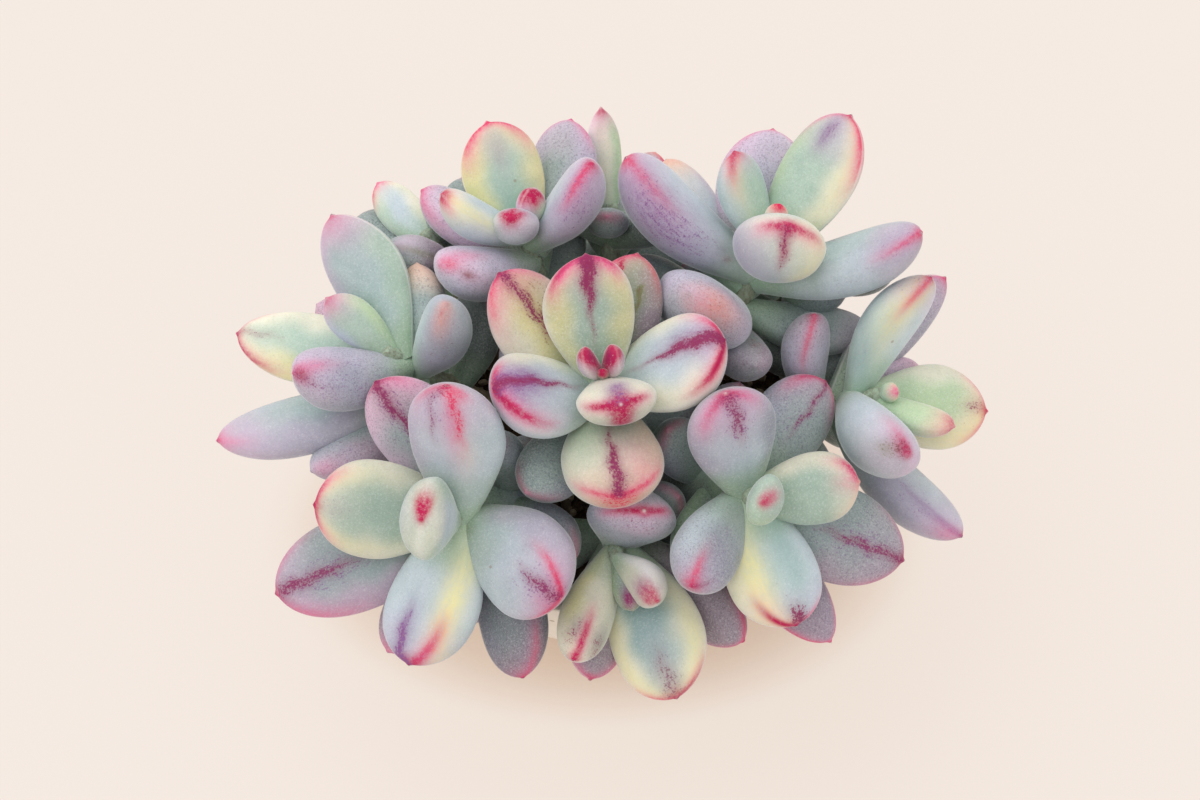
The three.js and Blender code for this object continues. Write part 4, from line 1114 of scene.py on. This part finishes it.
def fine_leaf(leaf, random):
    """A leaf as a closed grid of points, with the values that its colours come from."""
    placed = not leaf["name"].startswith("old")
    width, thickness, length = leaf["width"], leaf["thickness"], leaf["length"]
    t, angle, (quads, tris) = leaf_grid(leaf, POINT_GAP if placed else OLD_POINT_GAP)
    on_pole = (t == 0) | (t == 1)
    x_share = np.where(on_pole, 0, np.cos(angle))
    z_share = np.where(on_pole, 0, np.sin(angle))
    belly = np.sin(np.pi * t)

    flat = FLAT_LEAVES.get(leaf["name"], ROUND_LEAF)
    tip_power = TIP_POWER - 0.4 * flat
    half_width = width / 2 * fullness(t, ROOT_WIDTH, WIDTH_ROUNDING, tip_power)
    half_thickness = thickness / 2 * fullness(t, ROOT_THICKNESS, THICKNESS_ROUNDING, tip_power)
    phases = random.uniform(0, 2 * np.pi, 6)
    wave = np.sin(2 * angle + 5 * t + phases[0]) + np.sin(3 * angle - 7 * t + phases[1])
    wave = wave + 0.6 * np.sin(5 * angle + 11 * t + phases[2])
    lump = 1 + LUMPINESS * wave * belly
    edge = np.abs(z_share) ** (1 + 0.35 * max(flat - 0.3, 0)) * np.sign(z_share)
    face = np.where(z_share > 0, UPPER_FACE, LOWER_FACE)
    x = half_width * x_share * lump
    z = half_thickness * face * edge * lump
    bend = SIDEWAYS_BEND * width * random.uniform(-1, 1) * belly
    roll = math.radians(random.uniform(-MOST_ROLL, MOST_ROLL)) * belly
    x_turned = x * np.cos(roll) - z * np.sin(roll) + bend
    z_turned = x * np.sin(roll) + z * np.cos(roll) - BOW * length * belly
    rim = np.hypot(x, z)
    nib = NIB_LENGTH * (0.5 + 0.5 * flat) * np.exp(-((rim / NIB_RADIUS) ** 2)) * (t > 0.5)
    y = length * t + nib
    points = (leaf["root"] + leaf["along"] * y[:, None] + leaf["side"] * x_turned[:, None]
              + leaf["normal"] * z_turned[:, None])

    look = LOOKS[leaf["name"]] if placed else OLD_LOOKS[random.integers(len(OLD_LOOKS))]
    wobble = 0.5 * (np.sin(3.1 * y / 6 + phases[3]) + np.sin(angle * 3 + phases[4]))
    place = dict(
        x=x, z=z, t=t, length=length, wobble=wobble, phase=phases[5],
        back=np.hypot(length * (1 - t), rim), half_width=half_width, half_thickness=half_thickness,
    )
    # The tone setting lightens or darkens the coat: partly the leaf's own colour, partly painted light and
    # shade.
    coat = coat_colour(look, place, x_share, z_share) * look["tone"]
    freckles = FRECKLED if look["colours"][0] in GREY_COLOURS else CLEAR
    return points, quads, tris, dict(
        coat=coat * (1 + TONE_CHANGE * random.uniform(-1, 1)),
        speckle=lay_marks(look["marks"], "speckle", place),
        stain=lay_marks(look["marks"], "stain", place),
        local=np.column_stack([x, y, z]),
        traits=np.tile([random.uniform(0, 50), flat, freckles], (len(t), 1)),
    )


def fine_stem(stem, random):
    """A stem with rings where leaves have dropped off, green near its top."""
    share = np.linspace(0, 1, STEM_STEPS)
    centre = stem.point(share)
    along = stem.tangent(share)
    side = unit(np.cross([0.0, 1.0, 0.0], along))[:, None]
    normal = np.cross(along, side[:, 0])[:, None]
    angle = 2 * np.pi * np.arange(STEM_SIDES) / STEM_SIDES
    height = share * stem.length
    scars = SCAR_HEIGHT * np.abs(np.sin(height * math.pi / SCAR_GAP)) ** 6
    tapered = stem.radius * (1 - (1 - STEM_TOP) * share) * np.where(share > 0.985, 0.8, 1)
    radius = tapered - BARK_SINK + scars
    ripple = 1 + 0.03 * np.sin(3 * angle + height[:, None] * 0.9)
    rough = ripple + 0.02 * random.uniform(-1, 1, (STEM_STEPS, STEM_SIDES))
    wide = (radius[:, None] * rough)[..., None]
    ring = centre[:, None] + wide * (np.cos(angle)[:, None] * side + np.sin(angle)[:, None] * normal)
    points = np.vstack([centre[:1], ring.reshape(-1, 3), centre[-1:] + along[-1:] * 0.4])
    quads, tris = closed_tube(STEM_STEPS, STEM_SIDES)
    height_all = np.concatenate([[0], np.repeat(height, STEM_SIDES), [stem.length]])
    young = smooth(0.45, 0.95, height_all / stem.length)[:, None]
    coat = blend(paint("bark"), paint("young_bark"), young)
    bare = np.zeros((len(points), 4))
    return points, quads, tris, dict(coat=coat, speckle=bare, stain=bare, local=points, traits=bare[:, :3])


# Materials

class Graph:
    """A material's node tree, made by short calls."""

    def __init__(self, name):
        self.material = bpy.data.materials.new(name)
        self.material.use_nodes = True
        self.tree = self.material.node_tree
        self.shader = self.tree.nodes["Principled BSDF"]

    def put(self, socket, value):
        if isinstance(value, bpy.types.NodeSocket):
            self.tree.links.new(value, socket)
        else:
            socket.default_value = (*paint(value), 1.0) if isinstance(value, str) else value

    def node(self, kind, inputs=None, **settings):
        made = self.tree.nodes.new("ShaderNode" + kind)
        for key, value in settings.items():
            setattr(made, key, value)
        for key, value in (inputs or {}).items():
            self.put(made.inputs[key], value)
        return made

    def attribute(self, name):
        return self.node("Attribute", attribute_name=name).outputs

    def place(self):
        return self.node("TexCoord").outputs["Object"]

    def plus(self, first, second):
        return self.node("Math", {0: first, 1: second}, operation="ADD").outputs[0]

    def minus(self, first, second):
        return self.node("Math", {0: first, 1: second}, operation="SUBTRACT").outputs[0]

    def times(self, first, second, clamp=False):
        made = self.node("Math", {0: first, 1: second}, operation="MULTIPLY", use_clamp=clamp)
        return made.outputs[0]

    def scaled(self, vector, by):
        return self.node("VectorMath", {0: vector, 1: by}, operation="MULTIPLY").outputs[0]

    def noise(self, vector, scale, detail, roughness, seed=None):
        inputs = {"Vector": vector, "Scale": scale, "Detail": detail, "Roughness": roughness}
        if seed is None:
            return self.node("TexNoise", inputs).outputs[0]
        return self.node("TexNoise", {**inputs, "W": seed}, noise_dimensions="4D").outputs[0]

    def spread(self, noise):
        """Noise spread evenly over 0 to 1, since it gathers round its middle."""
        return self.node("MapRange", {0: noise, 1: 0.34, 2: 0.66}).outputs[0]

    def ramp(self, value, low, high, to_low=0.0, to_high=1.0):
        inputs = dict(enumerate((value, low, high, to_low, to_high)))
        return self.node("MapRange", inputs, interpolation_type="SMOOTHSTEP").outputs[0]

    def mix(self, share, first, second, blend="MIX"):
        inputs = {0: share, 6: first, 7: second}
        return self.node("Mix", inputs, data_type="RGBA", blend_type=blend).outputs[2]

    def bump(self, height, strength, distance, **normal):
        inputs = {"Height": height, "Strength": strength, "Distance": distance, **normal}
        return self.node("Bump", inputs).outputs[0]

    def finish(self, **inputs):
        for key, value in inputs.items():
            self.put(self.shader.inputs[key.replace("_", " ")], value)
        return self.material


class LeafSkin(Graph):
    """The leaves' skin, whose colour is laid on in layers."""

    def __init__(self):
        super().__init__("leaf_skin")
        self.colour = self.attribute("coat")["Vector"]
        self.speckle = self.attribute("speckle")
        self.stain = self.attribute("stain")
        self.local = self.attribute("local")["Vector"]
        traits = self.attribute("traits")["Vector"]
        self.seed, self.flat, self.freckles = self.node("SeparateXYZ", {0: traits}).outputs

    def lay(self, share, colour, blend="MIX"):
        self.colour = self.mix(share, self.colour, colour, blend)

    def grains(self, scale, detail, roughness, shift=0.0, stretch=None):
        """Noise over the leaf, of its own for each leaf and each shift."""
        place = self.scaled(self.local, (1.0, stretch, 1.0)) if stretch else self.local
        seed = self.plus(self.seed, shift) if shift else self.seed
        return self.spread(self.noise(place, scale, detail, roughness, seed))

    def lay_powder(self):
        """Broad uneven clouds, fine pale grains and darker pores."""
        self.lay(self.times(self.grains(0.2, 3, 0.55), 0.3), "haze", "MULTIPLY")
        self.grain = self.grains(2.4, 3, 0.7)
        self.lay(self.ramp(self.grain, 0.45, 1.0, 0.0, 0.25), "bloom")
        pores = self.ramp(self.grains(2.2, 2, 0.6, 7.0), 0.5, 1.0)
        self.lay(self.times(pores, self.ramp(self.freckles, 0.1, 0.8, 0.12, 0.4)), "pore", "MULTIPLY")

    def lay_freckles(self):
        """Fine dark freckles, mostly on the greyer leaves."""
        dots = self.ramp(self.grains(2.4, 2, 0.6, 3.0), 0.7, 1.0)
        field = self.ramp(self.grains(0.16, 2, 0.5, 5.0), 0.2, 0.9, 0.08, 0.5)
        self.lay(self.times(self.times(dots, field), self.freckles), "freckle")

    def lay_stains(self):
        """Soft stains, and painted highlights on some nibs, drawn out along the leaf and thinned by the
        powder.
        """
        drawn = self.ramp(self.grains(1.2, 3, 0.6, stretch=0.3), 0.0, 1.0, 0.88, 1.15)
        thinned = self.minus(drawn, self.times(self.grain, 0.25))
        self.lay(self.times(self.times(self.stain["Alpha"], 1.2), thinned, clamp=True), self.stain["Color"])

    def lay_speckles(self):
        """A faint wash, and dots and dashes that thin out towards the edge."""
        dust = self.grains(2.3, 2, 0.6, 11.0)
        dash = self.grains(1.5, 2, 0.5, 13.0, stretch=0.22)
        broken = self.plus(self.times(dust, 0.55), self.times(dash, 0.4))
        cover = self.speckle["Alpha"]
        dotted = self.ramp(self.minus(self.times(cover, 0.95), broken), -0.22, 0.42, 0.0, 0.95)
        dark = self.ramp(dust, 0.25, 0.75, 0.0, 0.5)
        shown = self.node("Math", {0: dotted, 1: self.times(cover, 0.45)}, operation="MAXIMUM").outputs[0]
        self.lay(shown, self.mix(dark, self.speckle["Color"], "deep", "MULTIPLY"))

    def lay_pale_edge(self):
        """A thin pale edge on flat margins: partly powder gathered there, partly a painted highlight along
        the outline.
        """
        height = self.node("SeparateXYZ", {0: self.local}).outputs[2]
        off_edge = self.node("Math", {0: height}, operation="ABSOLUTE").outputs[0]
        edge = self.ramp(off_edge, 0.1, 0.6, 0.45, 0.0)
        self.lay(self.times(edge, self.ramp(self.flat, 0.4, 1.0)), "pale_edge")

    def lay_scars(self):
        """Rare small scars."""
        inputs = {"Vector": self.local, "W": self.seed, "Scale": 0.11}
        cells = self.node("TexVoronoi", inputs, voronoi_dimensions="4D")
        self.lay(self.ramp(cells.outputs["Distance"], 0.035, 0.065, 0.5, 0.0), "scar")


def leaf_material():
    g = LeafSkin()
    g.lay_powder()
    g.lay_freckles()
    g.lay_stains()
    g.lay_speckles()
    g.lay_pale_edge()
    g.lay_scars()
    dents = g.bump(g.noise(g.local, 0.5, 2, 0.5, g.seed), 0.25, 0.0006)
    return g.finish(
        Base_Color=g.colour,
        Roughness=g.ramp(g.grain, 0.2, 0.8, 0.66, 0.52),
        Normal=g.bump(g.grain, 0.25, 0.00008, Normal=dents),
        Subsurface_Weight=0.1,
        Subsurface_Radius=(0.0035, 0.0022, 0.0016),
        Subsurface_Scale=1.0,
        Specular_IOR_Level=0.3,
        Sheen_Weight=1.0,
        Sheen_Roughness=0.24,
        Sheen_Tint=(0.95, 0.97, 1.0, 1.0),
    )


def bark_material():
    g = Graph("stem_bark")
    coat = g.attribute("coat")["Color"]
    grain = g.noise(g.scaled(g.attribute("local")["Vector"], (1.0, 1.0, 0.3)), 1.4, 4, 0.65)
    return g.finish(
        Base_Color=g.mix(g.ramp(grain, 0.35, 0.7, 0.0, 0.6), coat, "crack"),
        Roughness=0.85,
        Normal=g.bump(grain, 0.6, 0.0004),
    )


def ceramic_material():
    """Matt glaze with faint clouds and scattered flecks."""
    g = Graph("matt_ceramic")
    place = g.place()
    cloud = g.noise(place, 38.0, 3, 0.55)
    colour = g.mix(g.ramp(cloud, 0.35, 0.7), "ceramic", "ceramic_cloud")
    flecks = g.node("TexVoronoi", {"Vector": place, "Scale": 420.0}).outputs
    chance = g.node("SeparateColor", {0: flecks["Color"]}).outputs[0]
    fleck = g.times(g.ramp(flecks["Distance"], 0.34, 0.22), g.ramp(chance, 0.8, 0.82))
    return g.finish(
        Base_Color=g.mix(g.times(fleck, 0.55), colour, "fleck"),
        Roughness=g.ramp(cloud, 0.3, 0.7, 0.62, 0.74),
        Normal=g.bump(g.noise(place, 900.0, 3, 0.6), 0.25, 0.0002),
        Specular_IOR_Level=0.4,
    )


def soil_material():
    g = Graph("potting_soil")
    crumb = g.noise(g.place(), 420.0, 4, 0.7)
    return g.finish(
        Base_Color=g.mix(g.ramp(crumb, 0.35, 0.68), "wet_soil", "dry_soil"),
        Roughness=0.95,
        Normal=g.bump(crumb, 0.9, 0.0012),
        Specular_IOR_Level=0.2,
    )


def grit_material():
    g = Graph("grit")
    light = g.mix(g.attribute("shade")["Fac"], "dark_grit", "light_grit")
    rough = g.noise(g.place(), 700.0, 3, 0.6)
    return g.finish(
        Base_Color=g.mix(g.ramp(rough, 0.4, 0.7, 0.0, 0.5), light, "grit_dust"),
        Roughness=0.9,
        Normal=g.bump(rough, 0.6, 0.0003),
    )


def floor_material():
    """Pale paper that glows, so that shadows on it stay faint. Under the plant it has a painted shadow: in
    an oval the paper is darker and glows less and warmer."""
    g = Graph("pale_floor")
    place = g.place()
    # The painted shadow: inside the oval the paper is darker and glows less and warmer.
    oval = g.scaled(place, (1 / FLOOR_OVAL, 1.0, 0.0))
    away = g.node("VectorMath", {0: oval}, operation="LENGTH").outputs["Value"]
    far = g.ramp(away, *FLOOR_NEAR)
    paper = g.mix(far, "near_paper", "far_paper")
    tooth = g.ramp(g.noise(place, 900.0, 2, 0.5), 0.3, 0.7, 0.0, 0.05)
    return g.finish(
        Base_Color=g.mix(tooth, paper, "paper_tooth"),
        Roughness=0.9,
        Specular_IOR_Level=0.0,
        Emission_Color=g.mix(far, "near_glow", "far_glow"),
        Emission_Strength=g.plus(g.times(far, 0.4), 0.4),
    )


# Pot

def pot_radius(height):
    share = np.asarray(height) / POT_HEIGHT
    straight = POT_BASE_RADIUS + (POT_RIM_RADIUS - POT_BASE_RADIUS) * share
    return straight + POT_BELLY * np.sin(math.pi * share)


def rounded(points, radius, steps=6):
    """The outline with each inner corner replaced by a short curve of about that radius."""
    result = [points[0]]
    for before, corner, after in zip(points, points[1:], points[2:]):
        before, corner, after = (np.array(p, float) for p in (before, corner, after))
        inward, outward = before - corner, after - corner
        cut = min(radius, np.linalg.norm(inward) / 2.2, np.linalg.norm(outward) / 2.2)
        first, last = corner + unit(inward) * cut, corner + unit(outward) * cut
        for share in np.linspace(0, 1, steps):
            result.append((1 - share) ** 2 * first + 2 * share * (1 - share) * corner + share ** 2 * last)
    return np.array([*result, points[-1]])


def lathe(outline, sides):
    """A closed solid turned from an outline whose first and last points are on the axis."""
    angle = 2 * np.pi * np.arange(sides) / sides
    radius, height = np.array(outline[1:-1]).T[:, :, None]
    ring = np.stack([radius * np.cos(angle), radius * np.sin(angle), np.repeat(height, sides, 1)], -1)
    points = np.vstack([[0, 0, outline[0][1]], ring.reshape(-1, 3), [0, 0, outline[-1][1]]])
    return points, *closed_tube(len(radius), sides)


def drill_hole(pot, x, y):
    size = dict(radius=DRAIN_RADIUS * MM, depth=3 * POT_FLOOR * MM)
    bpy.ops.mesh.primitive_cylinder_add(vertices=DRAIN_SIDES, **size)
    drill = bpy.context.object
    drill.location = (x * MM, y * MM, 0)
    cut = pot.modifiers.new("drain", "BOOLEAN")
    cut.operation = "DIFFERENCE"
    cut.solver = "MANIFOLD"
    cut.object = drill
    with bpy.context.temp_override(object=pot, active_object=pot):
        bpy.ops.object.modifier_apply(modifier=cut.name)
    bpy.data.objects.remove(drill)


def make_pot(material):
    outside = [(pot_radius(h), h) for h in np.linspace(FOOT_BEVEL, POT_HEIGHT, POT_STEPS)[:-1]]
    inner_heights = np.linspace(POT_HEIGHT, POT_FLOOR + INNER_BEVEL, INNER_STEPS)[1:]
    inside = [(pot_radius(h) - POT_WALL, h) for h in inner_heights]
    outline = [
        (0, 0),
        (POT_BASE_RADIUS - FOOT_BEVEL, 0),
        *outside,
        (POT_RIM_RADIUS, POT_HEIGHT),
        (POT_RIM_RADIUS - POT_WALL, POT_HEIGHT),
        *inside,
        (pot_radius(POT_FLOOR) - POT_WALL - INNER_BEVEL, POT_FLOOR),
        (0, POT_FLOOR),
    ]
    parts = MeshParts()
    parts.add(*lathe(rounded(outline, EDGE_ROUNDING), POT_SIDES))
    pot = parts.build("pot_body", [material])
    for k in range(DRAIN_COUNT):
        angle = 2 * math.pi * k / DRAIN_COUNT + math.pi / 6
        drill_hole(pot, DRAIN_RING * math.cos(angle), DRAIN_RING * math.sin(angle))
    pot.data.set_sharp_from_angle(angle=SHARP_ANGLE)
    return pot


# Soil and grit

def soil_radius(height):
    return pot_radius(height) - POT_WALL - CLEARANCE


def soil_height(x, y):
    """The soil's top: a low crown with lumps."""
    crown = SOIL_CROWN * (1 - (np.hypot(x, y) / POT_RIM_RADIUS) ** 2)
    lumps = 0.45 * np.sin(0.31 * x + 1.3) * np.sin(0.27 * y + 0.4) + 0.3 * np.sin(0.83 * x - 0.6 * y)
    fine = 0.22 * np.sin(1.9 * x + 0.8 * y) * np.sin(1.7 * y - 1.1 * x)
    return SOIL_TOP + crown - SOIL_SETTLED + lumps + fine


def make_soil(material):
    floor = POT_FLOOR + CLEARANCE
    heights = np.linspace(POT_FLOOR + INNER_BEVEL, SOIL_TOP - 3, SOIL_STEPS)
    wall = [(soil_radius(h), h) for h in heights]
    top = [(r, SOIL_TOP) for r in np.linspace(soil_radius(SOIL_TOP), 0, SOIL_RINGS)[:-1]]
    foot = (pot_radius(POT_FLOOR) - POT_WALL - INNER_BEVEL - CLEARANCE, floor)
    points, quads, tris = lathe([(0, floor), foot, *wall, *top, (0, SOIL_TOP)], SOIL_SIDES)
    above = points[:, 2] > SOIL_TOP - 1
    points[above, 2] = soil_height(points[above, 0], points[above, 1])
    parts = MeshParts()
    parts.add(points, quads, tris)
    return parts.build("soil_top", [material])


def lump(random):
    """A small rough stone: a subdivided icosahedron pushed in and out."""
    stone = bmesh.new()
    bmesh.ops.create_icosphere(stone, subdivisions=2, radius=1.0)
    points = np.array([v.co[:] for v in stone.verts])
    tris = np.array([[v.index for v in f.verts] for f in stone.faces])
    stone.free()
    facets = unit(random.normal(size=(9, 3)))
    cut = np.minimum(1, (GRIT_CHIP / np.maximum(points @ facets.T, 0.3)).min(1))
    stretch = random.uniform(0.65, 1.25, 3)
    return points * cut[:, None] * stretch, tris


def make_grit(material, random):
    parts = MeshParts()
    no_quads = np.zeros((0, 4), int)
    reach = soil_radius(SOIL_TOP) - GRIT_MARGIN
    for _ in range(GRIT_COUNT):
        radius, turn = reach * math.sqrt(random.uniform()), random.uniform(0, 2 * math.pi)
        x, y = radius * math.cos(turn), radius * math.sin(turn)
        size = random.uniform(*GRIT_SIZES)
        points, tris = lump(random)
        points = points * size + [x, y, soil_height(x, y) + 0.25 * size]
        parts.add(points, no_quads, tris, shade=np.full((len(points), 1), random.uniform()))
    return parts.build("grit", [material])


# Scene

def make_shoot(stem, leaves, materials, random):
    parts = MeshParts()
    points, quads, tris, values = fine_stem(stem, random)
    parts.add(points, quads, tris, 1, **values)
    for leaf in leaves:
        points, quads, tris, values = fine_leaf(leaf, random)
        parts.add(points, quads, tris, 0, **values)
    piece = parts.build(f"leafy_{stem.shoot}", materials)
    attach(piece, "root")
    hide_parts(f"shoot_{stem.shoot}")


def make_camera():
    camera = bpy.data.objects.new("camera", bpy.data.cameras.new("camera"))
    bpy.context.scene.collection.objects.link(camera)
    camera.location = Vector((VIEW_AIM + OUT * VIEW_DISTANCE) * MM)
    camera.rotation_euler = Vector(-OUT).to_track_quat("-Z", "Y").to_euler()
    camera.data.sensor_width = SENSOR_WIDTH
    camera.data.lens = SENSOR_WIDTH * VIEW_DISTANCE / VIEW_WIDTH
    camera.data.clip_end = FAR_CLIP
    bpy.context.scene.camera = camera


def make_sun():
    light = bpy.data.lights.new("key", "SUN")
    light.energy = SUN_STRENGTH
    light.angle = SUN_ANGLE
    light.color = SUN_COLOUR
    lamp = bpy.data.objects.new("key", light)
    towards_sun = Vector(direction(SUN_HEADING, 90 - SUN_HEIGHT))
    lamp.rotation_euler = towards_sun.to_track_quat("Z", "Y").to_euler()
    bpy.context.scene.collection.objects.link(lamp)


def make_world():
    world = bpy.data.worlds.new("soft_fill")
    world.use_nodes = True
    background = world.node_tree.nodes["Background"]
    background.inputs["Color"].default_value = (*FILL_COLOUR, 1)
    background.inputs["Strength"].default_value = FILL_STRENGTH
    bpy.context.scene.world = world


def make_floor():
    bpy.ops.mesh.primitive_plane_add(size=FLOOR_SIZE)
    floor = bpy.context.object
    floor.name = "floor"
    floor.data.materials.append(floor_material())


def main():
    stems, leaves = grow_plant()
    skins = [leaf_material(), bark_material()]
    for k, stem in enumerate(stems):
        own = [leaf for leaf in leaves if leaf["shoot"] == stem.shoot]
        make_shoot(stem, own, skins, np.random.default_rng(SHOOT_SEED + k))

    pot = make_pot(ceramic_material())
    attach(pot, "root")
    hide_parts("pot")

    soil = make_soil(soil_material())
    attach(soil, "root")
    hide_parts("soil")

    grit = make_grit(grit_material(), np.random.default_rng(GRIT_SEED))
    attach(grit, "root")

    make_floor()
    make_camera()
    make_world()
    make_sun()
    bpy.context.scene.view_settings.view_transform = "Standard"


main()
